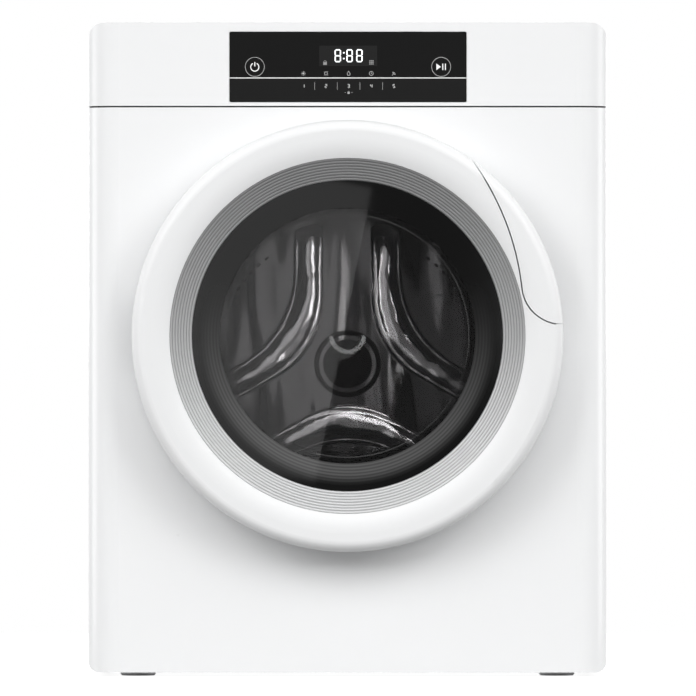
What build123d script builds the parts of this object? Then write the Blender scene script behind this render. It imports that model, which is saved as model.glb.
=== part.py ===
# Compact vented tumble dryer, front loading, for a drum of about 44 litres.
# Millimetres, +Z up, the front faces -Y. The origin is on the floor, below the middle
# of the whole machine's box.
import math
import os

from build123d import *

os.makedirs("parts", exist_ok=True)

# Cabinet
width = 495.0
cabinet_height = 620.0
cabinet_depth = 405.0
door_stand = 43.0
collar_reach = 30.0
foot_show = 4.0
front_edge_radius = 29.0
back_edge_radius = 6.0
top_edge_radius = 14.5
bottom_edge_radius = 10.0
sheet = 0.8
front_wrap = 32.0
side_flange = 22.0
panel_gap = 0.4
pan_wall = 1.2
pan_gap = 0.2

# Fascia and controls
fascia_height = 79.5
fascia_gap = 1.5
fascia_wall = 2.5
fascia_depth = 62.0
insert_width = 226.0
insert_height = 67.0
insert_shift = 0.5
insert_drop = 8.9
key_strip_height = 22.5
insert_split = 1.0
insert_seam = 0.05
insert_clearance = 0.3
insert_corner = 1.5
ledge_reach = 3.5
ledge_width = 8.5
ledge_border = 2.8
ledge_thickness = 3.0
button_spacing = 177.8
button_rise = 33.6
button_radius = 9.4
button_clearance = 0.25
button_flange = 1.6
button_stroke = 1.2
board_setback = 20.0
board_thickness = 1.6
display_width = 56.0
display_height = 19.0
display_rise = 44.0

# Door
door_z = foot_show + 321.0
door_radius = 205.5
door_gap = 6.0
door_wall = 3.0
ring_inner_radius = 169.3
ribbed_inner_radius = 147.8
rib_count = 8
rib_depth = 0.8
pane_thickness = 3.0
pane_bulge = 5.0
bowl_mouth_radius = 140.5
bowl_end_radius = 117.5
bowl_reach = 85.0
bowl_wall = 4.0
bowl_corner = 7.0
liner_thickness = 3.0
seal_squeeze = 0.3
groove = 1.2
grip_gap = 15.0

# Hinge
hinge_x = -198.0
hinge_stand = 20.0
hinge_pin_radius = 3.0
hinge_fit = 0.05
knuckle_radius = 5.5
barrel_length = 39.0
ear_thickness = 4.0
ear_gap = 0.5
hinge_notch_margin = 5.0

# Drum
drum_z = foot_show + 294.0
drum_radius = 222.0
drum_depth = 285.0
drum_wall = 1.0
drum_mouth_radius = 186.0
drum_rim = 12.0
bulkhead_setback = 44.0
bulkhead_wall = 3.0
drum_running_gap = 4.0
mouth_radius = 150.0
mouth_wall = 3.0
felt_gap = 0.3
felt_thickness = 4.0
vane_inner = 41.0
vane_width = 38.0
vane_arc = 125.0
vane_half_length = 104.0
vane_height = 13.0
vane_crown = 72.0
vane_wall = 1.2
lifter_base = 58.0
lifter_height = 42.0
lifter_crest = 10.0
lifter_length = 215.0
lifter_wall = 2.0
hub_radius = 24.0
hub_dish = 5.0
perforation_length = 4.4
perforation_width = 2.4
perforation_rows = (130.0, 144.0)
perforation_step = 4.5
perforation_reach = 5

# Rear support
shaft_radius = 10.0
bush_wall = 4.0
running_clearance = 0.05
rear_plate = 1.2
rear_felt_inner = 194.4
rear_felt_outer = 205.6
channel_depth = 8.0

# Drive
motor_x = 165.0
motor_z = 84.0
motor_radius = 41.0
motor_length = 112.0
motor_boss_radius = 16.0
motor_boss_length = 8.0
motor_shaft_radius = 6.0
fan_radius = 55.0
fan_width = 16.0
fan_blades = 12
volute_start = 61.0
volute_growth = 3.2
housing_depth = 22.0
duct_wall = 2.0
pulley_radius = 9.0
pulley_flange = 3.0
belt_y = 20.0
belt_width = 8.0
belt_thickness = 2.6
belt_gap = 0.3
idler_radius = 16.0
idler_along = 0.40
idler_pivot_x = 130.0
idler_pivot_z = 30.0
idler_pivot_radius = 4.0
spring_wire = 0.6
spring_pitch = 1.7
spring_turns = 2

# Air outlet
duct_width = 80.0
duct_height = 46.0
duct_x = 15.0
duct_bottom = 10.0
vent_radius = 49.0
vent_z = 66.0
cord_hole_radius = 11.0
cord_hole_inset = 57.5
cord_hole_x = cord_hole_inset - width / 2
cord_hole_z = 92.0

# Places worked out from the sizes above
front_y = door_stand - (door_stand + cabinet_depth + collar_reach) / 2
back_y = front_y + cabinet_depth
middle_y = (front_y + back_y) / 2
cabinet_bottom = foot_show
cabinet_top = cabinet_bottom + cabinet_height
fascia_bottom = cabinet_top - fascia_height
front_panel_top = fascia_bottom - fascia_gap
floor_top = cabinet_bottom + sheet + pan_gap + pan_wall
bulkhead_y = front_y + bulkhead_setback
drum_front_y = bulkhead_y + bulkhead_wall + drum_running_gap
drum_back_y = drum_front_y + drum_depth
rear_plate_y = drum_back_y + drum_rim + drum_running_gap
inner_half_width = width / 2 - sheet - 0.3
pan_half_width = width / 2 - sheet - pan_gap - pan_wall - 0.3
collar_radius = drum_mouth_radius - felt_gap - felt_thickness
insert_z = cabinet_top - insert_drop - insert_height / 2

door_plane = Plane.XY.offset(door_z)
door_axis = Axis((0, 0, door_z), (0, 1, 0))
drum_plane = Plane.XY.offset(drum_z)
drum_axis = Axis((0, 0, drum_z), (0, 1, 0))


def facing(y):
    """The upright plane at depth y, seen from the front, with X right and Z up."""
    return Plane.XZ.offset(-y)


def stand(distance):
    """The y of a place that far in front of the front panel's face."""
    return front_y - distance


def outward(degrees):
    """The direction at that angle in the front view, counted from the right, upward."""
    angle = math.radians(degrees)
    return (math.cos(angle), 0, math.sin(angle))


def around_drum(y, degrees):
    """The upright plane at depth y whose x runs outward from the drum's axis."""
    return Plane(origin=(0, y, drum_z), x_dir=outward(degrees), z_dir=(0, -1, 0))


def door_section(degrees):
    """The plane through the door's axis at that angle: x runs outward, y to the back."""
    return Plane(origin=(0, 0, door_z), x_dir=outward(degrees), z_dir=outward(degrees + 90))


def dome_radius(span, height):
    """The radius of an arc whose crest stands that high over its end, one span away."""
    return (span**2 + height**2) / (2 * height)


def drop(radius, run):
    """How far an arc of that radius has fallen at that run from its crest."""
    return radius - math.sqrt(radius**2 - run**2)


def cabinet_block(inset):
    """The cabinet's outer form, drawn in by inset on every side."""
    with BuildPart() as block:
        with BuildSketch(Plane.XY.offset(cabinet_bottom + inset)) as plan:
            with Locations((0, middle_y)):
                Rectangle(width - 2 * inset, cabinet_depth - 2 * inset)
            fillet(plan.vertices().group_by(Axis.Y)[0], front_edge_radius - inset)
            fillet(plan.vertices().group_by(Axis.Y)[-1], back_edge_radius - inset)
        extrude(amount=cabinet_height - 2 * inset)
        with BuildSketch(facing(back_y)) as outline:
            with Locations((0, (cabinet_bottom + cabinet_top) / 2)):
                Rectangle(width - 2 * inset, cabinet_height - 2 * inset)
            fillet(outline.vertices().group_by(Axis.Y)[0], bottom_edge_radius - inset)
            fillet(outline.vertices().group_by(Axis.Y)[-1], top_edge_radius - inset)
        extrude(amount=cabinet_depth, mode=Mode.INTERSECT)
    return block.part


def keep_between(x, y, z):
    """Keeps what lies between the two limits given along each axis."""
    middle = [(low + high) / 2 for low, high in (x, y, z)]
    size = [high - low for low, high in (x, y, z)]
    with Locations(tuple(middle)):
        Box(*size, mode=Mode.INTERSECT)


def block_between(x, y, z, mode=Mode.ADD):
    """A block between the two limits given along each axis."""
    middle = [(low + high) / 2 for low, high in (x, y, z)]
    size = [high - low for low, high in (x, y, z)]
    with Locations(tuple(middle)):
        Box(*size, mode=mode)


def disc(centre, y, radius, depth, mode=Mode.ADD):
    """A round of that radius about (x, z), from depth y towards the back."""
    with BuildSketch(facing(y)) as outline:
        with Locations(centre):
            Circle(radius)
    extrude(outline.sketch, amount=-depth, mode=mode)


def ring(centre, y, outer, inner, depth, mode=Mode.ADD):
    """A flat ring about (x, z), from depth y towards the back."""
    with BuildSketch(facing(y)) as outline:
        with Locations(centre):
            Circle(outer)
            Circle(inner, mode=Mode.SUBTRACT)
    extrude(outline.sketch, amount=-depth, mode=mode)


# Front panel: sheet steel with rounded upright edges, a flanged round mouth for the
# door and a small hole for the door switch's plunger
mouth_hole_radius = mouth_radius + mouth_wall + 0.3
mouth_flange = 4.0
switch_place = (172.0, door_z - 60.0)
plunger_radius = 2.0
with BuildPart() as front_panel:
    add(cabinet_block(0))
    add(cabinet_block(sheet), mode=Mode.SUBTRACT)
    keep_between((-width, width), (front_y, front_y + front_wrap), (cabinet_bottom, front_panel_top))
    disc((0, door_z), front_y, mouth_hole_radius, sheet, Mode.SUBTRACT)
    ring((0, door_z), front_y, mouth_hole_radius + sheet, mouth_hole_radius, mouth_flange)
    disc(switch_place, front_y, plunger_radius + 0.5, sheet, Mode.SUBTRACT)
    block_between(
        (-width / 2 + front_edge_radius, width / 2 - front_edge_radius),
        (front_y + sheet, front_y + front_wrap / 2),
        (front_panel_top - sheet, front_panel_top),
    )
front_panel.part.label = "front_panel"
export_step(front_panel.part, "parts/front_panel.step")

# Control fascia: a moulding over the full width, with the ledge that the black insert
# seats on, the thin bar that parts the insert's two pieces and four posts for the board
post_x = insert_width / 2 + ledge_width / 2
post_z = insert_height / 2 - 8.0
post_radius = 3.0
board_y = front_y + board_setback
insert_bottom = insert_z - insert_height / 2
insert_top = insert_z + insert_height / 2
strip_top = insert_bottom + key_strip_height
panel_bottom = strip_top + insert_split
side_rib_x = 175.0
side_rib_half = 1.0
side_rib_length = fascia_height * 0.55
with BuildPart() as control_fascia:
    add(cabinet_block(0))
    add(cabinet_block(fascia_wall), mode=Mode.SUBTRACT)
    keep_between((-width, width), (front_y, front_y + fascia_depth), (fascia_bottom, cabinet_top))
    with BuildSketch(facing(front_y + fascia_wall)):
        with Locations((insert_shift, insert_z)):
            Rectangle(insert_width + 2 * ledge_width, insert_height + 2 * ledge_border)
    extrude(amount=-ledge_thickness)
    with BuildSketch(facing(front_y)) as opening:
        with Locations((insert_shift, insert_z)):
            Rectangle(insert_width + 2 * insert_clearance, insert_height + 2 * insert_clearance)
        fillet(opening.vertices(), insert_corner)
    extrude(amount=-fascia_wall, mode=Mode.SUBTRACT)
    with BuildSketch(facing(front_y)):
        with Locations((insert_shift, insert_z)):
            Rectangle(insert_width - 2 * ledge_reach, insert_height - 2 * ledge_reach)
    extrude(amount=-fascia_wall - ledge_thickness, mode=Mode.SUBTRACT)
    for x in (insert_shift - post_x, insert_shift + post_x):
        for z in (insert_z - post_z, insert_z + post_z):
            disc((x, z), front_y + fascia_wall, post_radius, board_setback - fascia_wall)
    block_between(
        (insert_shift - insert_width / 2 - 1, insert_shift + insert_width / 2 + 1),
        (front_y, front_y + fascia_wall),
        (strip_top + insert_seam, panel_bottom - insert_seam),
    )
    for middle in (-side_rib_x, side_rib_x):
        block_between(
            (middle - side_rib_half, middle + side_rib_half),
            (front_y + fascia_wall / 2, front_y + fascia_depth),
            (cabinet_top - side_rib_length, cabinet_top - fascia_wall / 2),
        )
control_fascia.part.label = "control_fascia"
export_step(control_fascia.part, "parts/control_fascia.step")

# The black insert in two pieces: the display panel above, the key strip below
button_z = insert_bottom + button_rise
button_places = {
    "power_button": (insert_shift - button_spacing / 2, button_z),
    "start_button": (insert_shift + button_spacing / 2, button_z),
}
with BuildPart() as display_panel:
    with BuildSketch(facing(front_y)) as face:
        with Locations((insert_shift, (panel_bottom + insert_top) / 2)):
            Rectangle(insert_width, insert_top - panel_bottom)
        fillet(face.vertices().group_by(Axis.Y)[-1], insert_corner)
    extrude(amount=-fascia_wall)
    for place in button_places.values():
        disc(place, front_y - 1, button_radius + button_clearance, fascia_wall + 2, Mode.SUBTRACT)
display_panel.part.label = "display_panel"
export_step(display_panel.part, "parts/display_panel.step")

with BuildPart() as key_strip:
    with BuildSketch(facing(front_y)) as face:
        with Locations((insert_shift, (insert_bottom + strip_top) / 2)):
            Rectangle(insert_width, key_strip_height)
        fillet(face.vertices().group_by(Axis.Y)[0], insert_corner)
    extrude(amount=-fascia_wall)
key_strip.part.label = "key_strip"
export_step(key_strip.part, "parts/key_strip.step")

# Power and start buttons: a round cap, the flange that keeps it behind the panel and a
# stem that reaches its switch on the board
switch_size = 12.0
stem_radius = 3.0
flange_thickness = 1.2
cap_edge_radius = 0.5
button_flange_y = front_y + fascia_wall + button_clearance
stem_end_y = board_y - 4.0
switch_top_y = stem_end_y + 0.1 + button_stroke
for name, place in button_places.items():
    with BuildPart() as button:
        disc(place, front_y, button_radius, fascia_wall + button_clearance)
        fillet(button.faces().sort_by(Axis.Y)[0].edges(), cap_edge_radius)
        disc(place, button_flange_y, button_radius + button_flange, flange_thickness)
        disc(place, button_flange_y, stem_radius, stem_end_y - button_flange_y)
    button.part.label = name
    export_step(button.part, f"parts/{name}.step")

# Control board with the display block and the two switches, screwed to the posts, and
# with three plugs on its back
display_z = insert_bottom + display_rise
plug_pitch = 40.0
plug_length = 25.0
plug_height = 12.0
plug_depth = 9.0
plug_z = insert_z - 24.0
with BuildPart() as control_board:
    with BuildSketch(facing(board_y)):
        with Locations((insert_shift, insert_z)):
            Rectangle(insert_width + 2 * ledge_width - 2, insert_height - 4)
    extrude(amount=-board_thickness)
    for place in button_places.values():
        block_between(
            (place[0] - switch_size / 2, place[0] + switch_size / 2),
            (switch_top_y, board_y),
            (place[1] - switch_size / 2, place[1] + switch_size / 2),
        )
    block_between(
        (insert_shift - display_width / 2, insert_shift + display_width / 2),
        (front_y + fascia_wall + 0.3, board_y),
        (display_z - display_height / 2, display_z + display_height / 2),
    )
    for step in (-1, 0, 1):
        plug_x = insert_shift + plug_pitch * step
        block_between(
            (plug_x - plug_length / 2, plug_x + plug_length / 2),
            (board_y + board_thickness, board_y + board_thickness + plug_depth),
            (plug_z, plug_z + plug_height),
        )
control_board.part.label = "control_board"
export_step(control_board.part, "parts/control_board.step")

# Side panels: sheet steel with a back flange and a turned-in bottom edge
cover_skirt = 34.0
cover_wall = 2.2
side_start_y = front_y + front_wrap + panel_gap
for name, side in (("side_panel_left", -1), ("side_panel_right", 1)):
    limits = sorted((side * width / 2, side * (width / 2 - side_flange)))
    with BuildPart() as side_panel:
        add(cabinet_block(0))
        add(cabinet_block(sheet), mode=Mode.SUBTRACT)
        keep_between(
            limits, (side_start_y, back_y), (cabinet_bottom, cabinet_top - cover_skirt - panel_gap)
        )
        block_between(
            limits,
            (side_start_y, front_y + fascia_depth + panel_gap),
            (front_panel_top, cabinet_top),
            Mode.SUBTRACT,
        )
    side_panel.part.label = name
    export_step(side_panel.part, f"parts/{name}.step")

# Top cover: a lid with rounded long edges that stands on the side and back panels, with
# three ribs under it
cover_rib_pitch = 120.0
cover_rib_half = 1.2
cover_rib_height = 12.0
with BuildPart() as top_cover:
    add(cabinet_block(0))
    add(cabinet_block(cover_wall), mode=Mode.SUBTRACT)
    keep_between(
        (-width, width),
        (front_y + fascia_depth + panel_gap, back_y),
        (cabinet_top - cover_skirt, cabinet_top),
    )
    for step in (-1, 0, 1):
        rib_x = cover_rib_pitch * step
        block_between(
            (rib_x - cover_rib_half, rib_x + cover_rib_half),
            (front_y + fascia_depth + 6, back_y - cover_wall / 2),
            (cabinet_top - cover_rib_height, cabinet_top - cover_wall / 2),
        )
top_cover.part.label = "top_cover"
export_step(top_cover.part, "parts/top_cover.step")

# Back panel: screwed inside the side flanges, with intake slots, the vent hole, the cord
# hole and a shallow pressed dish over the drum's bearing
back_plate = 1.0
back_plate_y = back_y - sheet - 0.2 - back_plate
slot_length = 52.0
slot_width = 4.0
slot_rows = 9
slot_columns = 3
slot_z = drum_z + 190.0
slot_pitch = (slot_length + 14.0, slot_width * 2.4)
dish_radius = 62.0
dish_depth = 6.0
dish_slope = 10.0
dish_lap = 1.0
vent_hole_gap = 1.2
with BuildPart() as back_panel:
    with BuildSketch(facing(back_plate_y)) as plate:
        with Locations((0, (cabinet_bottom + cabinet_top - cover_skirt) / 2)):
            Rectangle(width - 2 * back_edge_radius, cabinet_height - cover_skirt - 2.0)
        fillet(plate.vertices().group_by(Axis.Y)[0], bottom_edge_radius)
        with Locations((0, slot_z)):
            with GridLocations(*slot_pitch, slot_columns, slot_rows):
                SlotOverall(slot_length, slot_width, mode=Mode.SUBTRACT)
        with Locations((duct_x, vent_z)):
            Circle(vent_radius + vent_hole_gap, mode=Mode.SUBTRACT)
        with Locations((cord_hole_x, cord_hole_z)):
            Circle(cord_hole_radius, mode=Mode.SUBTRACT)
        with Locations((0, drum_z)):
            Circle(dish_radius, mode=Mode.SUBTRACT)
    extrude(amount=-back_plate)
    with BuildSketch(drum_plane):
        with BuildLine():
            Polyline(
                (0, back_plate_y - dish_depth),
                (dish_radius - 4 - dish_slope, back_plate_y - dish_depth),
                (dish_radius - 4, back_plate_y),
                (dish_radius + dish_lap, back_plate_y),
            )
            offset(amount=back_plate, side=Side.LEFT, kind=Kind.INTERSECTION)
        make_face()
    revolve(axis=drum_axis)
back_panel.part.label = "back_panel"
export_step(back_panel.part, "parts/back_panel.step")

# Base pan: a pressed tray with raised side walls, two swages and holes for the foot studs
pan_lip = 24.0
swage_half = 9.0
swage_rise = 3.0
swage_ends = (front_y + 70.0, back_y - 60.0)
foot_inset_x = 47.0
foot_front_inset = 52.0
foot_back_inset = 36.0
foot_places = [
    (side * (width / 2 - foot_inset_x), y)
    for y in (front_y + foot_front_inset, back_y - foot_back_inset)
    for side in (-1, 1)
]
stud_radius = 4.0
with BuildPart() as base_pan:
    add(cabinet_block(sheet + pan_gap))
    add(cabinet_block(sheet + pan_gap + pan_wall), mode=Mode.SUBTRACT)
    keep_between((-width, width), (front_y, back_y - 3.5), (cabinet_bottom, cabinet_bottom + pan_lip))
    for x in (-150, -70):
        block_between(
            (x - swage_half, x + swage_half), swage_ends, (floor_top - pan_wall / 2, floor_top + swage_rise)
        )
        block_between(
            (x - swage_half + pan_wall, x + swage_half - pan_wall),
            (swage_ends[0] + pan_wall, swage_ends[1] - pan_wall),
            (floor_top - pan_wall, floor_top + swage_rise - pan_wall),
            Mode.SUBTRACT,
        )
    with BuildSketch(Plane.XY.offset(cabinet_bottom)):
        with Locations(*foot_places):
            Circle(stud_radius + 0.1)
    extrude(amount=pan_lip / 3, mode=Mode.SUBTRACT)
base_pan.part.label = "base_pan"
export_step(base_pan.part, "parts/base_pan.step")

# Feet: four rubber pads whose studs snap through the base pan
foot_radius = 17.0
stud_barb = 1.4
stud_length = 6.0
pan_underside = floor_top - pan_wall
with BuildPart() as feet:
    for x, y in foot_places:
        with BuildSketch(Plane(origin=(x, y, 0), x_dir=(1, 0, 0), z_dir=(0, -1, 0))):
            with BuildLine():
                Polyline(
                    (0, 0),
                    (foot_radius - 1.5, 0),
                    (foot_radius, 1.5),
                    (foot_radius - 1.0, pan_underside),
                    (stud_radius, pan_underside),
                    (stud_radius, floor_top),
                    (stud_radius + stud_barb, floor_top),
                    (stud_radius - 0.8, floor_top + stud_length),
                    (0, floor_top + stud_length),
                    close=True,
                )
            make_face()
        revolve(axis=Axis((x, y, 0), (0, 0, 1)))
feet.part.label = "feet"
export_step(feet.part, "parts/feet.step")

# Front bulkhead: one moulding with the mouth tube, the plate behind the front panel and
# the collar that the drum hangs on
well_half = 74.0
well_wall = 2.0
well_front_y = front_y + mouth_flange + 0.3 + well_wall
well_back_y = bulkhead_y - well_wall - 0.1
collar_end_y = drum_front_y + 11.0
collar_wall = 3.0
shaft_hole_radius = 15.0
plate_corner = 12.0
web_length = 26.0
web_depth = 16.0
with BuildPart() as front_bulkhead:
    with BuildSketch(facing(bulkhead_y)) as plate:
        with Locations((0, (front_panel_top + cabinet_bottom + pan_lip) / 2 + 6)):
            Rectangle(2 * inner_half_width, front_panel_top - cabinet_bottom - pan_lip - 14)
        fillet(plate.vertices(), plate_corner)
        with Locations((0, door_z)):
            Circle(mouth_radius, mode=Mode.SUBTRACT)
        with Locations((motor_x, motor_z)):
            Circle(shaft_hole_radius, mode=Mode.SUBTRACT)
        with Locations((duct_x, duct_bottom + duct_height / 2)):
            Rectangle(duct_width + 2, duct_height + 2, mode=Mode.SUBTRACT)
    extrude(amount=-bulkhead_wall)
    ring(
        (0, door_z), front_y + sheet + 0.4, mouth_radius + mouth_wall, mouth_radius,
        bulkhead_y + bulkhead_wall / 2 - front_y - sheet - 0.4,
    )
    ring(
        (0, drum_z), bulkhead_y + bulkhead_wall / 2, collar_radius, collar_radius - collar_wall,
        collar_end_y - bulkhead_y - bulkhead_wall / 2,
    )
    for degrees in range(20, 180, 28):
        with BuildSketch(door_section(degrees)):
            with Locations((mouth_radius + mouth_wall + web_length / 2 - 1, bulkhead_y - web_depth / 2)):
                Rectangle(web_length, web_depth)
        extrude(amount=1, both=True)
    block_between(
        (-well_half, well_half), (well_front_y, well_back_y), (door_z - mouth_radius - 12, door_z - 120),
        Mode.SUBTRACT,
    )
front_bulkhead.part.label = "front_bulkhead"
export_step(front_bulkhead.part, "parts/front_bulkhead.step")

# Felt ring and glide pads between the collar and the drum's opening
felt_y = drum_front_y - 1.5
felt_width = 6.0
with BuildPart() as front_felt:
    ring((0, drum_z), felt_y, collar_radius + felt_thickness, collar_radius + 0.1, felt_width)
front_felt.part.label = "front_felt"
export_step(front_felt.part, "parts/front_felt.step")

glide_angle = 20.0
glide_spread = 28.0
glide_width = 5.5
with BuildPart() as drum_glides:
    for degrees in (90 - glide_spread, 90 + glide_spread):
        with BuildSketch(around_drum(felt_y + felt_width + 0.4, degrees)):
            with BuildLine():
                outer = CenterArc((0, 0), collar_radius + felt_thickness, -glide_angle / 2, glide_angle)
                inner = CenterArc((0, 0), collar_radius + 0.05, -glide_angle / 2, glide_angle)
                Line(outer @ 0, inner @ 0)
                Line(outer @ 1, inner @ 1)
            make_face()
        extrude(amount=-glide_width)
drum_glides.part.label = "drum_glides"
export_step(drum_glides.part, "parts/drum_glides.step")

# Lint filter: a cassette that hangs in the well under the mouth's lower edge, with slots
# in its curved top and mesh windows in its sides
filter_clearance = 0.5
filter_half = well_half - filter_clearance
filter_front_y = well_front_y + filter_clearance
filter_back_y = well_back_y - filter_clearance
filter_bottom = door_z - mouth_radius - 84.0
filter_wall = 2.0
filter_slot = 5.0
filter_slot_pitch = 10.0
mesh_window = (39.0, 28.0)
mesh_bar = 6.0


def filter_block(inset):
    """The cassette's form under the round mouth, drawn in by inset."""
    with BuildPart() as block:
        block_between(
            (-filter_half + inset, filter_half - inset),
            (filter_front_y + inset, filter_back_y - inset),
            (filter_bottom + inset, door_z - 100),
        )
        disc((0, door_z), filter_front_y, mouth_radius + inset, filter_back_y - filter_front_y, Mode.SUBTRACT)
    return block.part


with BuildPart() as lint_filter:
    add(filter_block(0))
    add(filter_block(filter_wall), mode=Mode.SUBTRACT)
    with BuildSketch(Plane.XY.offset(filter_bottom + 10)):
        with Locations((0, (filter_front_y + filter_back_y) / 2)):
            with GridLocations(filter_slot_pitch, 1, 13, 1):
                SlotOverall(filter_back_y - filter_front_y - 8, filter_slot, rotation=90)
    extrude(amount=mouth_radius, mode=Mode.SUBTRACT)
    with BuildSketch(facing(filter_front_y)):
        with Locations((0, filter_bottom + 40)):
            with GridLocations(mesh_window[0] + mesh_bar, mesh_window[1] + mesh_bar, 3, 2):
                RectangleRounded(*mesh_window, 4)
    extrude(amount=filter_front_y - filter_back_y, mode=Mode.SUBTRACT)
lint_filter.part.label = "lint_filter"
export_step(lint_filter.part, "parts/lint_filter.step")

# Lint duct: the well around the filter and the flat channel from it to the fan's inlet
well_bottom = filter_bottom - 20.0
channel_y = bulkhead_y - 15.0
fan_front_y = front_y + sheet + 5.0
fan_rear_y = fan_front_y + housing_depth
inlet_radius = 38.0
channel_margin = 4.0
channel_half = inlet_radius + 3.0
shaft_port_radius = 8.0
well_outer = well_half + well_wall
with BuildPart() as lint_duct:
    block_between(
        (-well_outer, well_outer),
        (well_front_y - well_wall, bulkhead_y - 0.1),
        (well_bottom, door_z - mouth_radius),
    )
    block_between(
        (well_outer - 10, motor_x + inlet_radius + channel_margin + well_wall),
        (channel_y, bulkhead_y - 0.1),
        (motor_z - channel_half - well_wall, motor_z + channel_half + well_wall),
    )
    block_between(
        (-well_half, well_half), (well_front_y, well_back_y), (well_bottom + well_wall, door_z),
        Mode.SUBTRACT,
    )
    block_between(
        (0, motor_x + inlet_radius + channel_margin),
        (channel_y + well_wall, bulkhead_y - 0.1 - well_wall),
        (motor_z - channel_half, motor_z + channel_half),
        Mode.SUBTRACT,
    )
    with BuildSketch(facing(channel_y)):
        with Locations((0, door_z)):
            Circle(mouth_radius + mouth_wall + 0.3)
    extrude(amount=60, both=True, mode=Mode.SUBTRACT)
    disc((motor_x, motor_z), channel_y, inlet_radius, well_wall, Mode.SUBTRACT)
    disc((motor_x, motor_z), bulkhead_y - 0.1 - well_wall, shaft_port_radius, well_wall, Mode.SUBTRACT)
lint_duct.part.label = "lint_duct"
export_step(lint_duct.part, "parts/lint_duct.step")

# Fan housing: a volute that widens towards its outlet at the lower left
outlet_x = duct_x + duct_width / 2 + 0.2
outlet_bottom = duct_bottom
outlet_top = duct_bottom + duct_height


def volute_point(quarter, inset=0):
    """A point of the spiral, counted in quarter turns from the left, over the top."""
    radius = volute_start + volute_growth * quarter - inset
    angle = math.radians(180 - 90 * quarter)
    return (motor_x + radius * math.cos(angle), motor_z + radius * math.sin(angle))


def volute_block(inset):
    """The volute's form, drawn in by inset on every side."""
    with BuildPart() as block:
        with BuildSketch(facing(fan_front_y + inset)):
            with BuildLine():
                for quarter in range(3):
                    ThreePointArc(
                        volute_point(quarter, inset),
                        volute_point(quarter + 0.5, inset),
                        volute_point(quarter + 1, inset),
                    )
                low = volute_point(3, inset)
                floor_line = Line(low, (outlet_x + inset, low[1]))
                mouth_line = Line(floor_line @ 1, (outlet_x + inset, outlet_top - inset))
                tongue = (motor_x - volute_start + 6 + inset, outlet_top - inset)
                roof_line = Line(mouth_line @ 1, tongue)
                Line(roof_line @ 1, volute_point(0, inset))
            make_face()
        extrude(amount=2 * inset - housing_depth)
    return block.part


with BuildPart() as fan_housing:
    add(volute_block(0))
    add(volute_block(duct_wall), mode=Mode.SUBTRACT)
    block_between(
        (outlet_x - 1, outlet_x + duct_wall + 1),
        (fan_front_y + duct_wall, fan_rear_y - duct_wall),
        (volute_point(3)[1] + duct_wall, outlet_top - duct_wall),
        Mode.SUBTRACT,
    )
    disc((motor_x, motor_z), fan_rear_y - duct_wall, inlet_radius, duct_wall, Mode.SUBTRACT)
    ring((motor_x, motor_z), fan_rear_y, inlet_radius + 2.0, inlet_radius, channel_y - fan_rear_y - 0.1)
fan_housing.part.label = "fan_housing"
export_step(fan_housing.part, "parts/fan_housing.step")

# Fan wheel: a disc with curved blades, open towards its inlet at the back
wheel_y = fan_front_y + duct_wall + 1.0
wheel_hub_radius = 11.0
disc_thickness = 1.5
blade_inner = 28.0
blade_thickness = 1.6


def fan_blade():
    """One blade's section, curved against the wheel's turning, with X outward."""
    with BuildSketch() as section:
        with BuildLine():
            ThreePointArc((blade_inner, 0), (42, 6), (fan_radius - 3, 17))
            offset(amount=blade_thickness, side=Side.LEFT)
        make_face()
    return section.sketch


with BuildPart() as fan_wheel:
    disc((motor_x, motor_z), wheel_y, fan_radius, disc_thickness)
    disc((motor_x, motor_z), wheel_y, wheel_hub_radius, fan_width)
    with BuildSketch(facing(wheel_y + disc_thickness)):
        with Locations((motor_x, motor_z)):
            with PolarLocations(0, fan_blades):
                add(fan_blade())
    extrude(amount=-(fan_width - disc_thickness))
    with BuildSketch(facing(wheel_y)):
        with Locations((motor_x, motor_z)):
            Circle(motor_shaft_radius)
    extrude(amount=-fan_width, mode=Mode.SUBTRACT)
fan_wheel.part.label = "fan_wheel"
export_step(fan_wheel.part, "parts/fan_wheel.step")

# Exhaust duct: from the fan's outlet back under the drum
duct_end_y = rear_plate_y - 5.0
duct_rib = 2.0
duct_rib_pitch = 60
duct_left = duct_x - duct_width / 2
duct_right = duct_x + duct_width / 2
with BuildPart() as exhaust_duct:
    block_between((duct_left, duct_right), (fan_front_y, duct_end_y), (outlet_bottom, outlet_top))
    block_between(
        (duct_left + duct_wall, duct_right - duct_wall),
        (fan_front_y + duct_wall, duct_end_y),
        (outlet_bottom + duct_wall, outlet_top - duct_wall),
        Mode.SUBTRACT,
    )
    block_between(
        (duct_right - duct_wall, duct_right),
        (fan_front_y + duct_wall, fan_rear_y - duct_wall),
        (outlet_bottom + duct_wall, outlet_top - duct_wall),
        Mode.SUBTRACT,
    )
    for y in range(-90, int(duct_end_y) - 30, duct_rib_pitch):
        block_between(
            (duct_left, duct_right), (y, y + duct_rib), (outlet_top - duct_wall / 2, outlet_top + duct_rib)
        )
exhaust_duct.part.label = "exhaust_duct"
export_step(exhaust_duct.part, "parts/exhaust_duct.step")

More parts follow.
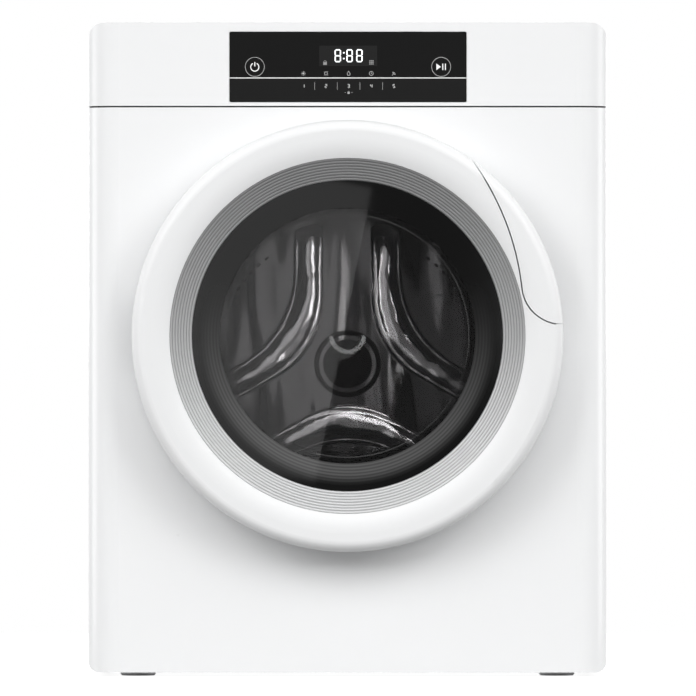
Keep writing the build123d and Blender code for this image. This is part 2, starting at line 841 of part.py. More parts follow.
# Vent collar: turns the flat duct into a round spigot for the hose
collar_start_y = duct_end_y + 0.1
spigot_start_y = back_plate_y - 8.0
spigot_end_y = back_y + collar_reach
spigot_flange = 7.0
with BuildPart() as vent_collar:
    with BuildSketch(facing(collar_start_y)):
        with Locations((duct_x, duct_bottom + duct_height / 2)):
            RectangleRounded(duct_width, duct_height, 3)
    with BuildSketch(facing(spigot_start_y)):
        with Locations((duct_x, vent_z)):
            Circle(vent_radius)
    loft()
    disc((duct_x, vent_z), spigot_start_y, vent_radius, spigot_end_y - spigot_start_y)
    with BuildSketch(facing(collar_start_y)):
        with Locations((duct_x, duct_bottom + duct_height / 2)):
            RectangleRounded(duct_width - 2 * duct_wall, duct_height - 2 * duct_wall, 2)
    with BuildSketch(facing(spigot_start_y)):
        with Locations((duct_x, vent_z)):
            Circle(vent_radius - duct_wall)
    loft(mode=Mode.SUBTRACT)
    disc(
        (duct_x, vent_z), spigot_start_y, vent_radius - duct_wall, spigot_end_y - spigot_start_y,
        Mode.SUBTRACT,
    )
    ring((duct_x, vent_z), back_plate_y - 2.2, vent_radius + spigot_flange, vent_radius - 1, 2.0)
vent_collar.part.label = "vent_collar"
export_step(vent_collar.part, "parts/vent_collar.step")

# Motor: a round housing with end bells, cooling slots and a boss at each end
motor_front_y = bulkhead_y + bulkhead_wall + 14.0
motor_back_y = motor_front_y + motor_length
bell_radius = 5.0
air_slot = (11.0, 5.0)
with BuildPart() as motor_body:
    disc((motor_x, motor_z), motor_front_y, motor_radius, motor_length)
    fillet(motor_body.edges().filter_by(GeomType.CIRCLE), bell_radius)
    disc(
        (motor_x, motor_z), motor_front_y - motor_boss_length, motor_boss_radius,
        motor_length + 2 * motor_boss_length,
    )
    with BuildSketch(facing(motor_front_y)):
        with Locations((motor_x, motor_z)):
            with PolarLocations(motor_radius - 12, 10):
                Rectangle(*air_slot)
    extrude(amount=-6, mode=Mode.SUBTRACT)
    disc(
        (motor_x, motor_z), motor_front_y - motor_boss_length, motor_shaft_radius + running_clearance,
        motor_length + 2 * motor_boss_length, Mode.SUBTRACT,
    )
motor_body.part.label = "motor_body"
export_step(motor_body.part, "parts/motor_body.step")

# Motor bracket: a foot plate, two uprights that hold the bosses, and the tab with the
# idler's pivot pin
upright = 2.5
bracket_left = motor_x - 45.0
bracket_right = motor_x + 28.0
cradle_half = 22.0
cradle_crown = 12.0
cradle_rise = 24.0
tab_width = 18.0
tab_reach = 9.0
pin_reach = 6.0
saddle_y = (motor_front_y - motor_boss_length + 1.5, motor_back_y + motor_boss_length - 1.5 - upright)
arm_y = belt_y - 14.0
tab_y = arm_y - 7.5
with BuildPart() as motor_bracket:
    block_between(
        (bracket_left, bracket_right), (saddle_y[0], tab_y + upright), (floor_top, floor_top + upright)
    )
    for y in saddle_y:
        with BuildSketch(facing(y)):
            with BuildLine():
                Polyline(
                    (bracket_left + 5, floor_top),
                    (bracket_right, floor_top),
                    (motor_x + cradle_half, motor_z + 10),
                    (motor_x + cradle_crown, motor_z + cradle_rise),
                    (motor_x - cradle_crown, motor_z + cradle_rise),
                    (motor_x - cradle_half, motor_z + 10),
                    close=True,
                )
            make_face()
            with Locations((motor_x, motor_z)):
                Circle(motor_boss_radius + 0.1, mode=Mode.SUBTRACT)
            with Locations((motor_x - 4, motor_z - 42)):
                RectangleRounded(40, 18, 5, mode=Mode.SUBTRACT)
        extrude(amount=-upright)
    with BuildSketch(facing(tab_y)) as tab:
        with Locations((idler_pivot_x, (floor_top + idler_pivot_z + tab_reach) / 2)):
            Rectangle(tab_width, idler_pivot_z + tab_reach - floor_top)
        fillet(tab.vertices().group_by(Axis.Y)[-1], tab_width / 2 - 1)
    extrude(amount=-upright)
    disc((idler_pivot_x, idler_pivot_z), tab_y, idler_pivot_radius, arm_y + pin_reach - tab_y)
motor_bracket.part.label = "motor_bracket"
export_step(motor_bracket.part, "parts/motor_bracket.step")

# Motor shaft and pulley: the fan sits on the front end, the belt on the back end
pulley_width = belt_width + 4.0
pulley_y = belt_y - pulley_width / 2
rim_width = 1.4
with BuildPart() as motor_shaft:
    disc((motor_x, motor_z), wheel_y, motor_shaft_radius, pulley_y + pulley_width - wheel_y)
motor_shaft.part.label = "motor_shaft"
export_step(motor_shaft.part, "parts/motor_shaft.step")

with BuildPart() as motor_pulley:
    disc((motor_x, motor_z), pulley_y, pulley_radius, pulley_width)
    for y in (pulley_y, pulley_y + pulley_width - rim_width):
        disc((motor_x, motor_z), y, pulley_radius + pulley_flange, rim_width)
    disc((motor_x, motor_z), pulley_y, motor_shaft_radius, pulley_width, Mode.SUBTRACT)
motor_pulley.part.label = "motor_pulley"
export_step(motor_pulley.part, "parts/motor_pulley.step")

# Drum belt: a flat ribbed belt round the drum and the motor pulley
drum_loop = drum_radius + belt_gap
pulley_loop = pulley_radius + belt_gap


def belt_sketch(grow):
    """The belt's inner outline in the front view, enlarged by grow."""
    with BuildSketch() as outline:
        with Locations((0, drum_z)):
            Circle(drum_loop + grow)
        with Locations((motor_x, motor_z)):
            Circle(pulley_loop + grow)
        make_hull()
    return outline.sketch


with BuildPart() as drum_belt:
    with BuildSketch(facing(belt_y - belt_width / 2)):
        add(belt_sketch(belt_thickness))
        add(belt_sketch(0), mode=Mode.SUBTRACT)
    extrude(amount=-belt_width)
drum_belt.part.label = "drum_belt"
export_step(drum_belt.part, "parts/drum_belt.step")

# Idler: a pulley on a short arm that a torsion coil presses up against the belt
centre_line = Vector(motor_x, motor_z - drum_z)
lean = math.degrees(math.asin((drum_loop - pulley_loop) / centre_line.length))
run_normal = Vector(centre_line.normalized()).rotate(Axis.Z, lean - 90)
run_start = Vector(0, drum_z) + run_normal * drum_loop
run_end = Vector(motor_x, motor_z) + run_normal * pulley_loop
run_place = run_end + (run_start - run_end) * idler_along
idler_centre = run_place + run_normal * (belt_thickness + belt_gap + idler_radius)
arm_hub = 7.5
arm_eye = 6.0
arm_thickness = 3.0
idler_pin_radius = 4.0
with BuildPart() as idler_arm:
    with BuildSketch(facing(arm_y)):
        with Locations((idler_pivot_x, idler_pivot_z)):
            Circle(arm_hub)
        with Locations((idler_centre.X, idler_centre.Y)):
            Circle(arm_eye)
        make_hull()
    extrude(amount=-arm_thickness)
    disc((idler_pivot_x, idler_pivot_z), tab_y + upright + 0.4, arm_hub, arm_y + 6.5 - tab_y - upright)
    disc((idler_centre.X, idler_centre.Y), arm_y, idler_pin_radius, belt_y + 9 - arm_y)
    disc(
        (idler_pivot_x, idler_pivot_z), tab_y, idler_pivot_radius + running_clearance, 40, Mode.SUBTRACT
    )
idler_arm.part.label = "idler_arm"
export_step(idler_arm.part, "parts/idler_arm.step")

idler_front_y = belt_y - pulley_width / 2
idler_recess = 3.0
idler_hub = 7.0
with BuildPart() as idler_pulley:
    idler_xz = (idler_centre.X, idler_centre.Y)
    disc(idler_xz, idler_front_y, idler_radius, pulley_width)
    for y in (idler_front_y, idler_front_y + pulley_width - idler_recess):
        ring(idler_xz, y, idler_radius - idler_recess, idler_hub, idler_recess, Mode.SUBTRACT)
    disc(idler_xz, idler_front_y, idler_pin_radius + running_clearance, pulley_width, Mode.SUBTRACT)
idler_pulley.part.label = "idler_pulley"
export_step(idler_pulley.part, "parts/idler_pulley.step")

spring_radius = arm_hub + spring_wire + 0.3
spring_y = tab_y + upright + 0.1 + spring_wire
coil = Helix(
    pitch=spring_pitch, height=spring_pitch * spring_turns, radius=spring_radius,
    center=(idler_pivot_x, spring_y, idler_pivot_z), direction=(0, 1, 0),
)
print("idler spring, least gap between turns", round(spring_pitch - 2 * spring_wire, 2))
with BuildPart() as idler_spring:
    with BuildSketch(Plane(origin=coil @ 0, z_dir=coil % 0)):
        Circle(spring_wire)
    sweep(path=coil, is_frenet=True)
idler_spring.part.label = "idler_spring"
export_step(idler_spring.part, "parts/idler_spring.step")

# Run capacitor: a can that lies on the base beside the motor
can_radius = 14.0
can_length = 62.0
can_x = bracket_left - can_radius - 4
can_saddle_half = 9.0
with BuildPart() as motor_capacitor:
    disc((can_x, floor_top + can_radius + 1.5), motor_front_y + 10, can_radius, can_length)
    fillet(motor_capacitor.edges().filter_by(GeomType.CIRCLE), 2)
    block_between(
        (can_x - can_saddle_half, can_x + can_saddle_half),
        (motor_front_y + 30, motor_front_y + 44),
        (floor_top, floor_top + 6),
    )
motor_capacitor.part.label = "motor_capacitor"
export_step(motor_capacitor.part, "parts/motor_capacitor.step")

# Power board in its tray, on the base at the left
tray_x = (-224.0, -140.0)
tray_y = (front_y + 92.0, front_y + 222.0)
tray_wall = 2.0
tray_low = floor_top + 3.2
tray_high = floor_top + 22.0
circuit_z = tray_low + 5.8
relay_size = (20.0, 18.0, 18.0)
relay_pitch = 28.0
choke_radius = 11.0
choke_length = 44.0
inside_x = (tray_x[0] + tray_wall, tray_x[1] - tray_wall)
inside_y = (tray_y[0] + tray_wall, tray_y[1] - tray_wall)
with BuildPart() as power_board:
    block_between(tray_x, tray_y, (tray_low, tray_high))
    block_between(inside_x, inside_y, (tray_low + tray_wall, tray_high + 1), Mode.SUBTRACT)
    block_between(inside_x, inside_y, (circuit_z, circuit_z + board_thickness))
    for x in (inside_x[0] + 8, inside_x[1] - 8):
        for y in (inside_y[0] + 8, inside_y[1] - 8):
            block_between((x - 3, x + 3), (y - 3, y + 3), (tray_low + tray_wall / 2, circuit_z + 0.5))
    for step in range(4):
        relay_y = inside_y[0] + 10 + relay_pitch * step
        block_between(
            (inside_x[0] + 12, inside_x[0] + 12 + relay_size[0]),
            (relay_y, relay_y + relay_size[1]),
            (circuit_z + 1, circuit_z + 1 + relay_size[2]),
        )
    disc((inside_x[1] - 20, circuit_z + 12), inside_y[0] + 28, choke_radius, choke_length)
power_board.part.label = "power_board"
export_step(power_board.part, "parts/power_board.step")

# Cord gland: the bushing in the back panel's cord hole
gland_bore = 4.5
gland_lip = 3.5
gland_reach = 9.0
gland_fit = 0.1
with BuildPart() as cord_gland:
    with BuildSketch(Plane(origin=(cord_hole_x, 0, cord_hole_z))):
        with BuildLine():
            Polyline(
                (gland_bore, back_plate_y - gland_reach),
                (cord_hole_radius - 2.5, back_plate_y - gland_reach),
                (cord_hole_radius + 0.8, back_plate_y - gland_fit),
                (cord_hole_radius - gland_fit, back_plate_y - gland_fit),
                (cord_hole_radius - gland_fit, back_plate_y + back_plate + gland_fit),
                (cord_hole_radius + gland_lip, back_plate_y + back_plate + gland_fit),
                (cord_hole_radius + gland_lip - 1, back_plate_y + back_plate + gland_lip),
                (gland_bore + 1.5, back_plate_y + back_plate + gland_reach),
                (gland_bore, back_plate_y + back_plate + gland_reach),
                close=True,
            )
        make_face()
    revolve(axis=Axis((cord_hole_x, 0, cord_hole_z), (0, 1, 0)))
cord_gland.part.label = "cord_gland"
export_step(cord_gland.part, "parts/cord_gland.step")

# Rear bulkhead: a steel plate across the cabinet with the felt's channel, a window for
# the hot air and a cut-out for the duct below
window_width = 176.0
window_height = 54.0
window_z = drum_z + 128.0
plate_low = 80.0
stiffener_inset = 20.0
stiffener_x = pan_half_width - stiffener_inset
stiffener_depth = 12.0
stiffener_z = (120.0, 520.0)
boss_wall = 6.0
boss_radius = shaft_radius + bush_wall + boss_wall
with BuildPart() as rear_bulkhead:
    with BuildSketch(facing(rear_plate_y)) as plate:
        with Locations((0, (floor_top + cabinet_top - cover_skirt) / 2)):
            Rectangle(2 * pan_half_width, cabinet_top - cover_skirt - floor_top - 0.6)
        chamfer(plate.vertices(), bottom_edge_radius)
        with Locations((duct_x, (floor_top + plate_low) / 2 - 5)):
            Rectangle(duct_width + 60, plate_low - floor_top + 10, mode=Mode.SUBTRACT)
        with Locations((0, drum_z)):
            Circle(boss_radius + 0.1, mode=Mode.SUBTRACT)
        with Locations((0, window_z)):
            RectangleRounded(window_width, window_height, 8, mode=Mode.SUBTRACT)
    extrude(amount=-rear_plate)
    for inner in (rear_felt_inner - 1.4, rear_felt_outer + 0.2):
        ring((0, drum_z), rear_plate_y - channel_depth, inner + rear_plate, inner, channel_depth + 0.5)
    for side in (-1, 1):
        block_between(
            sorted((side * stiffener_x, side * (stiffener_x + rear_plate))),
            (rear_plate_y, rear_plate_y + stiffener_depth),
            stiffener_z,
        )
rear_bulkhead.part.label = "rear_bulkhead"
export_step(rear_bulkhead.part, "parts/rear_bulkhead.step")

rear_felt_y = drum_back_y + drum_wall + felt_gap
with BuildPart() as rear_felt:
    ring((0, drum_z), rear_felt_y, rear_felt_outer, rear_felt_inner, rear_plate_y - rear_felt_y)
rear_felt.part.label = "rear_felt"
export_step(rear_felt.part, "parts/rear_felt.step")

# Bearing housing and bush: they carry the drum's stub axle on the rear bulkhead
housing_y = rear_plate_y + rear_plate
housing_end_y = housing_y + 28.0
nose_y = rear_plate_y - 6.0
bush_radius = shaft_radius + bush_wall
bush_length = housing_end_y - nose_y
housing_flange = 40.0
housing_plate = 3.0
housing_web = (22.0, 12.0)
fixing_circle = 33.0
fixing_hole = 2.6
with BuildPart() as bearing_housing:
    disc((0, drum_z), housing_y, housing_flange, housing_plate)
    disc((0, drum_z), nose_y, boss_radius, bush_length)
    for degrees in (30, 150, 270):
        with BuildSketch(around_drum(housing_y + housing_plate - 1, degrees)):
            with Locations((housing_flange - 2 - housing_web[0] / 2, 0)):
                Rectangle(housing_web[0], housing_plate)
        extrude(amount=-housing_web[1])
    with BuildSketch(facing(housing_y)):
        with Locations((0, drum_z)):
            with PolarLocations(fixing_circle, 3, start_angle=90):
                Circle(fixing_hole)
    extrude(amount=-housing_plate, mode=Mode.SUBTRACT)
    disc((0, drum_z), nose_y, bush_radius, bush_length, Mode.SUBTRACT)
bearing_housing.part.label = "bearing_housing"
export_step(bearing_housing.part, "parts/bearing_housing.step")

with BuildPart() as drum_bush:
    ring((0, drum_z), nose_y, bush_radius, shaft_radius + running_clearance, bush_length)
drum_bush.part.label = "drum_bush"
export_step(drum_bush.part, "parts/drum_bush.step")

# Heater box on the rear bulkhead, open at both ends, with the fin stack inside
box_half = window_width / 2 + 12
box_depth = 40.0
box_wall = 1.2
box_flange = 8.0
box_low = window_z - window_height / 2 - 6
box_high = window_z + window_height / 2 + 6
with BuildPart() as heater_box:
    block_between((-box_half, box_half), (housing_y, housing_y + box_depth), (box_low, box_high))
    block_between(
        (-box_half, box_half),
        (housing_y, housing_y + box_depth - box_wall),
        (box_low + box_wall, box_high - box_wall),
        Mode.SUBTRACT,
    )
    for z in (box_low - box_flange, box_high):
        block_between((-box_half, box_half), (housing_y, housing_y + box_wall), (z, z + box_flange))
heater_box.part.label = "heater_box"
export_step(heater_box.part, "parts/heater_box.step")

fin_count = 16
element_half = window_width / 2 - 4
element_y = housing_y + 6
element_depth = 22.0
bar_height = 6.0
with BuildPart() as heater_element:
    for low in (box_low + box_wall, box_high - box_wall - bar_height):
        block_between(
            (-element_half, element_half), (element_y, element_y + element_depth), (low, low + bar_height)
        )
    with Locations((0, element_y + element_depth / 2, window_z)):
        with GridLocations((2 * element_half - 4) / (fin_count - 1), 1, fin_count, 1):
            Box(1.2, element_depth - 4, box_high - box_low - 2 * box_wall - 10)
heater_element.part.label = "heater_element"
export_step(heater_element.part, "parts/heater_element.step")

thermostat_x = 40.0
thermostat_radius = 9.0
thermostat_height = 4.5
with BuildPart() as thermostats:
    for x in (-thermostat_x, thermostat_x):
        disc((x, window_z), housing_y + box_depth, thermostat_radius, thermostat_height)
        block_between(
            (x - 7, x + 7),
            (housing_y + box_depth + thermostat_height - 0.5, housing_y + box_depth + thermostat_height + 2),
            (window_z - 3, window_z + 3),
        )
thermostats.part.label = "thermostats"
export_step(thermostats.part, "parts/thermostats.step")

# Drum shell: rolled sheet with the inward front wall and the turned lip round its opening
drum_lip = 12.0
drum_shoulder = 8.0
with BuildPart() as drum_shell:
    with BuildSketch(drum_plane):
        with BuildLine():
            Polyline(
                (drum_mouth_radius, drum_front_y + drum_lip),
                (drum_mouth_radius, drum_front_y),
                (drum_radius - drum_shoulder, drum_front_y),
                (drum_radius, drum_front_y + drum_shoulder),
                (drum_radius, drum_back_y + drum_rim),
            )
            offset(amount=drum_wall, side=Side.LEFT, kind=Kind.INTERSECTION)
        make_face()
    revolve(axis=drum_axis)
drum_shell.part.label = "drum_shell"
export_step(drum_shell.part, "parts/drum_shell.step")

# Drum back: a pressed disc with a dished middle, a rim inside the shell and rows of short
# slots outside each vane
drum_seat = drum_radius - drum_wall - 0.1
hub_flat = hub_radius + 4.0
hub_slope = 5.0
with BuildPart() as drum_back:
    with BuildSketch(drum_plane):
        with BuildLine():
            Polyline(
                (0, drum_back_y + hub_dish),
                (hub_flat, drum_back_y + hub_dish),
                (hub_flat + hub_slope, drum_back_y),
                (drum_seat - 9, drum_back_y),
                (drum_seat, drum_back_y + 6),
                (drum_seat, drum_back_y + drum_rim),
            )
            offset(amount=drum_wall, side=Side.LEFT, kind=Kind.INTERSECTION)
        make_face()
    revolve(axis=drum_axis)
    with BuildSketch(facing(drum_back_y)):
        for middle in (150, 30, 270):
            for radius in perforation_rows:
                with Locations((0, drum_z)):
                    with PolarLocations(
                        radius, 2 * perforation_reach + 1,
                        start_angle=middle - perforation_reach * perforation_step,
                        angular_range=2 * perforation_reach * perforation_step,
                        endpoint=True,
                    ):
                        Rectangle(perforation_width, perforation_length)
    extrude(amount=-drum_wall, mode=Mode.SUBTRACT)
drum_back.part.label = "drum_back"
export_step(drum_back.part, "parts/drum_back.step")


def vane_sketch(plane, inset):
    """A vane's curved outline on the drum back, drawn in by inset."""
    inner = vane_inner + inset
    outer = vane_inner + vane_width - inset
    half = vane_half_length
    bend = drop(vane_arc, half)
    with BuildSketch(plane) as outline:
        with BuildLine():
            near = ThreePointArc((inner + bend, -half), (inner, 0), (inner + bend, half))
            far = ThreePointArc((outer + bend, -half), (outer, 0), (outer + bend, half))
            middle = (inner + outer) / 2 + bend
            tip = half + (outer - inner) / 2
            ThreePointArc(near @ 1, (middle, tip), far @ 1)
            ThreePointArc(near @ 0, (middle, -tip), far @ 0)
        make_face()
    return outline.sketch


def vane_block(degrees, levels):
    """A vane's form through its outlines, each given as height and inset."""
    with BuildPart() as form:
        for height, inset in levels:
            add(vane_sketch(around_drum(drum_back_y - height, degrees), inset))
        loft(ruled=True)
    return form.part


def dome_levels(height, width, steps):
    """Heights and insets that round a ridge of that height and width."""
    levels = []
    for step in range(steps + 1):
        angle = math.radians(vane_crown * step / steps)
        levels.append((height * math.sin(angle), width * (1 - math.cos(angle))))
    return levels


# Drum vanes: three hollow pressings, each curved away from the hub, on the drum back
with BuildPart() as drum_vanes:
    for degrees in (150, 30, 270):
        add(vane_block(degrees, dome_levels(vane_height, vane_width / 2, 4)))
    for degrees in (150, 30, 270):
        hollow = dome_levels(vane_height - vane_wall, vane_width / 2 - vane_wall, 2)
        cavity = vane_block(degrees, [(height, inset + vane_wall) for height, inset in hollow])
        add(cavity, mode=Mode.SUBTRACT)
drum_vanes.part.label = "drum_vanes"
export_step(drum_vanes.part, "parts/drum_vanes.step")

lifter_start_y = drum_front_y + 14.0


def lifter_block(degrees, inset):
    """A lifter's ridge form on the shell, drawn in by inset."""
    crest = drum_seat - lifter_height + inset
    with BuildPart() as ridge:
        with BuildSketch(around_drum(lifter_start_y + inset, degrees)):
            with BuildLine():
                Polyline(
                    (drum_seat + 4, inset - lifter_base / 2),
                    (crest, inset / 2 - lifter_crest),
                    (crest, lifter_crest - inset / 2),
                    (drum_seat + 4, lifter_base / 2 - inset),
                    close=True,
                )
            make_face()
        extrude(amount=2 * inset - lifter_length)
        with BuildSketch(facing(lifter_start_y)):
            with Locations((0, drum_z)):
                Circle(drum_seat)
        extrude(amount=-lifter_length, mode=Mode.INTERSECT)
    return ridge.part


# Drum lifters: three hollow ridges along the shell
with BuildPart() as drum_lifters:
    for degrees in (90, 210, 330):
        add(lifter_block(degrees, 0))
    for degrees in (90, 210, 330):
        add(lifter_block(degrees, lifter_wall), mode=Mode.SUBTRACT)
drum_lifters.part.label = "drum_lifters"
export_step(drum_lifters.part, "parts/drum_lifters.step")

# Hub cap: a shallow dome in the dished middle of the drum back
hub_crown = 4.0
hub_edge_y = drum_back_y + 1.0
hub_arc = dome_radius(hub_radius, hub_crown)
with BuildPart() as hub_cap:
    with BuildSketch(drum_plane):
        with BuildLine():
            base = Line((0, drum_back_y + hub_dish), (hub_radius, drum_back_y + hub_dish))
            side_line = Line(base @ 1, (hub_radius, hub_edge_y))
            crown = ThreePointArc(
                side_line @ 1,
                (hub_radius / 2, hub_edge_y - hub_crown + drop(hub_arc, hub_radius / 2)),
                (0, hub_edge_y - hub_crown),
            )
            Line(crown @ 1, base @ 0)
        make_face()
    revolve(axis=drum_axis)
hub_cap.part.label = "hub_cap"
export_step(hub_cap.part, "parts/hub_cap.step")

# Drum shaft: a stub axle on a flange behind the drum back
shaft_flange_y = drum_back_y + hub_dish + drum_wall
with BuildPart() as drum_shaft:
    disc((0, drum_z), shaft_flange_y, hub_radius + 2, 3)
    disc((0, drum_z), shaft_flange_y, shaft_radius, housing_end_y + 4 - shaft_flange_y)
    chamfer(drum_shaft.faces().sort_by(Axis.Y)[-1].edges(), 1)
    ring((0, drum_z), housing_end_y + 0.5, shaft_radius, shaft_radius - 1, 1.2, Mode.SUBTRACT)
drum_shaft.part.label = "drum_shaft"
export_step(drum_shaft.part, "parts/drum_shaft.step")

# Door ring: a hollow moulding, open at the back, with radial webs. It is cut away on the
# right for the grip and notched behind its front lip on the left for the hinge
leaf_thickness = 3.0
liner_front = door_gap + liner_thickness
leaf_room = liner_front + leaf_thickness + 0.4
ring_back = door_gap + 1.0
crown_radius = 188.0
crown_fall = 3.8
shoulder_radius = 10.0


def ring_edge(start_distance):
    """The ring's outer line in section, from its inner wall over the crown to its rim."""
    inner = Line(
        (ring_inner_radius, stand(start_distance)), (ring_inner_radius, stand(door_stand - crown_fall))
    )
    run = crown_radius - ring_inner_radius
    half_fall = drop(dome_radius(run, crown_fall), run / 2)
    crown = ThreePointArc(
        inner @ 1,
        (ring_inner_radius + run / 2, stand(door_stand - half_fall)),
        (crown_radius, stand(door_stand)),
    )
    flat = Line(crown @ 1, (door_radius - shoulder_radius, stand(door_stand)))
    shoulder = TangentArc(flat @ 1, (door_radius, stand(door_stand - shoulder_radius)), tangent=flat % 1)
    return shoulder


def ring_form(back, inset):
    """The ring as a filled body of revolution down to that distance, drawn in by inset."""
    with BuildPart() as form:
        with BuildSketch(door_plane):
            with BuildLine():
                shoulder = ring_edge(back)
                rim = Line(shoulder @ 1, (door_radius - rim_draft, stand(back)))
                Line(rim @ 1, (ring_inner_radius, stand(back)))
            make_face()
            if inset:
                offset(amount=-inset)
        revolve(axis=door_axis)
    return form.part


def grip_form(back, depth, shrink):
    """The grip's region right of the curved groove, forward from that distance."""
    top = (120.4, 163.2)
    far = door_radius + 14.0
    with BuildPart() as form:
        with BuildSketch(Plane(origin=(0, stand(back), door_z), x_dir=(1, 0, 0), z_dir=(0, -1, 0))):
            with BuildLine():
                upper = ThreePointArc(top, (148.8, 111.0), (165.3, 45.0))
                turn = TangentArc(upper @ 1, (197.0, 11.0), tangent=upper % 1)
                foot = Line(turn @ 1, (far, 10.6))
                side = Line(foot @ 1, (far, top[1] + 20))
                head = Line(side @ 1, (top[0] - 12, top[1] + 20))
                Line(head @ 1, upper @ 0)
            make_face()
            if shrink:
                offset(amount=-shrink)
        extrude(amount=depth)
    return form.part


notch_half = barrel_length / 2 + ear_gap + ear_thickness + hinge_notch_margin
notch_lip = hinge_stand + 10.0
notch_x = hinge_x + 15.0
ledge_distance = 27.0
rim_draft = 2.5
web_angles = (70, 100, 130, 155, 205, 230, 260, 290, 320, 345)
with BuildPart() as door_ring:
    with BuildSketch(door_plane):
        with BuildLine():
            shoulder = ring_edge(leaf_room)
            Line(shoulder @ 1, (door_radius - rim_draft, stand(ring_back)))
            offset(amount=door_wall, side=Side.LEFT)
        make_face()
    revolve(axis=door_axis)
    ring((0, door_z), stand(ledge_distance), ring_inner_radius + 1, ribbed_inner_radius + 2.2, door_wall)
    for degrees in web_angles:
        with BuildSketch(door_section(degrees)):
            with BuildLine():
                Polyline(
                    (ring_inner_radius + 1, stand(leaf_room)),
                    (ring_inner_radius + 1, stand(door_stand - 5)),
                    (crown_radius, stand(door_stand - 1.5)),
                    (door_radius - 6, stand(door_stand - 6)),
                    (door_radius - 4.5, stand(leaf_room)),
                    close=True,
                )
            make_face()
        extrude(amount=1, both=True)
    add(grip_form(0, door_stand + 1, 0), mode=Mode.SUBTRACT)
    block_between(
        (-door_radius - 5, notch_x),
        (stand(notch_lip), front_y),
        (door_z - notch_half, door_z + notch_half),
        Mode.SUBTRACT,
    )
door_ring.part.label = "door_ring"
export_step(door_ring.part, "parts/door_ring.step")

# Door grip: a cup behind the curved front skin, open to the right for the fingers
grip_wall = 2.4
grip_back = liner_front + 0.2
pocket_back = grip_back + grip_wall
with BuildPart() as grip_block:
    add(ring_form(grip_back, 0))
    add(grip_form(0, door_stand + 1, groove), mode=Mode.INTERSECT)
with BuildPart() as grip_pocket:
    add(ring_form(pocket_back - door_wall, door_wall))
    add(grip_form(0, door_stand + 1, groove + grip_wall), mode=Mode.INTERSECT)
    add(grip_form(pocket_back, grip_gap, groove + grip_wall))
with BuildPart() as door_handle:
    add(grip_block.part)
    add(grip_pocket.part, mode=Mode.SUBTRACT)
door_handle.part.label = "door_handle"
export_step(door_handle.part, "parts/door_handle.step")

# Ribbed trim ring: a cone that faces inwards, with saw-tooth ribs
ribbed_outer_radius = ring_inner_radius - 0.3
ribbed_low = 33.0
ribbed_high = 39.0
rib_pitch = (ribbed_outer_radius - ribbed_inner_radius) / rib_count
rib_rise = (ribbed_high - ribbed_low) / rib_count
rib_points = []
for rib in range(rib_count):
    foot_radius_here = ribbed_inner_radius + rib_pitch * rib
    foot_stand = ribbed_low + rib_rise * rib - rib_depth
    rib_points.append((foot_radius_here, stand(foot_stand)))
    rib_points.append((foot_radius_here + 0.35 * rib_pitch, stand(foot_stand + rib_depth)))
with BuildPart() as ribbed_ring:
    with BuildSketch(door_plane):
        with BuildLine():
            Polyline(
                (ribbed_inner_radius, stand(ledge_distance + 0.1)),
                *rib_points,
                (ribbed_outer_radius, stand(ribbed_high)),
                (ribbed_outer_radius, stand(ledge_distance + 0.1)),
                close=True,
            )
        make_face()
    revolve(axis=door_axis)
ribbed_ring.part.label = "ribbed_ring"
export_step(ribbed_ring.part, "parts/ribbed_ring.step")

# Glass bowl: clamped by its flange between the liner and the spacer ring
glass_radius = ribbed_inner_radius - 0.3
bowl_seat = liner_front + 0.2
with BuildPart() as glass_bowl:
    with BuildSketch(door_plane):
        with BuildLine():
            outside = FilletPolyline(
                (glass_radius + 1.8, stand(bowl_seat)),
                (bowl_mouth_radius, stand(bowl_seat)),
                (bowl_end_radius, stand(-bowl_reach)),
                (0, stand(-bowl_reach)),
                radius=(3.0, bowl_corner),
            )
            offset(amount=bowl_wall, side=Side.LEFT)
        make_face()
    revolve(axis=door_axis)
glass_bowl.part.label = "glass_bowl"
export_step(glass_bowl.part, "parts/glass_bowl.step")

# Spacer ring between the bowl's flange and the outer pane
pane_seat = 30.2
spacer_inner_radius = 137.0
with BuildPart() as glass_retainer:
    ring(
        (0, door_z), stand(pane_seat - 0.2), glass_radius, spacer_inner_radius,
        pane_seat - bowl_seat - bowl_wall - 0.4,
    )
glass_retainer.part.label = "glass_retainer"
export_step(glass_retainer.part, "parts/glass_retainer.step")

# Outer pane: a shallow domed disc flush with the trim ring
pane_front = pane_seat + pane_thickness
with BuildPart() as outer_pane:
    with BuildSketch(door_plane):
        with BuildLine():
            half_radius = glass_radius / 2
            half_rise = pane_bulge - drop(dome_radius(glass_radius, pane_bulge), half_radius)
            behind = ThreePointArc(
                (0, stand(pane_seat + pane_bulge)),
                (half_radius, stand(pane_seat + half_rise)),
                (glass_radius, stand(pane_seat)),
            )
            edge = Line(behind @ 1, (glass_radius, stand(pane_front)))
            before = ThreePointArc(
                edge @ 1,
                (half_radius, stand(pane_front + half_rise)),
                (0, stand(pane_front + pane_bulge)),
            )
            Line(before @ 1, behind @ 0)
        make_face()
    revolve(axis=door_axis)
outer_pane.part.label = "outer_pane"
export_step(outer_pane.part, "parts/outer_pane.step")

# Door liner: the flat back plate, with the bowl's opening and the hinge notch
liner_radius = door_radius - rim_draft - door_wall - 0.7
liner_inner_radius = bowl_mouth_radius + 2.0
with BuildPart() as door_liner:
    ring((0, door_z), stand(liner_front), liner_radius, liner_inner_radius, liner_thickness)
    ring((0, door_z), stand(liner_front + 3.5), glass_radius + 4.0, glass_radius + 2.2, 3.6)
    block_between(
        (-door_radius, hinge_x + 12.0),
        (stand(liner_front + 1), front_y),
        (door_z - notch_half, door_z + notch_half),
        Mode.SUBTRACT,
    )
door_liner.part.label = "door_liner"
export_step(door_liner.part, "parts/door_liner.step")

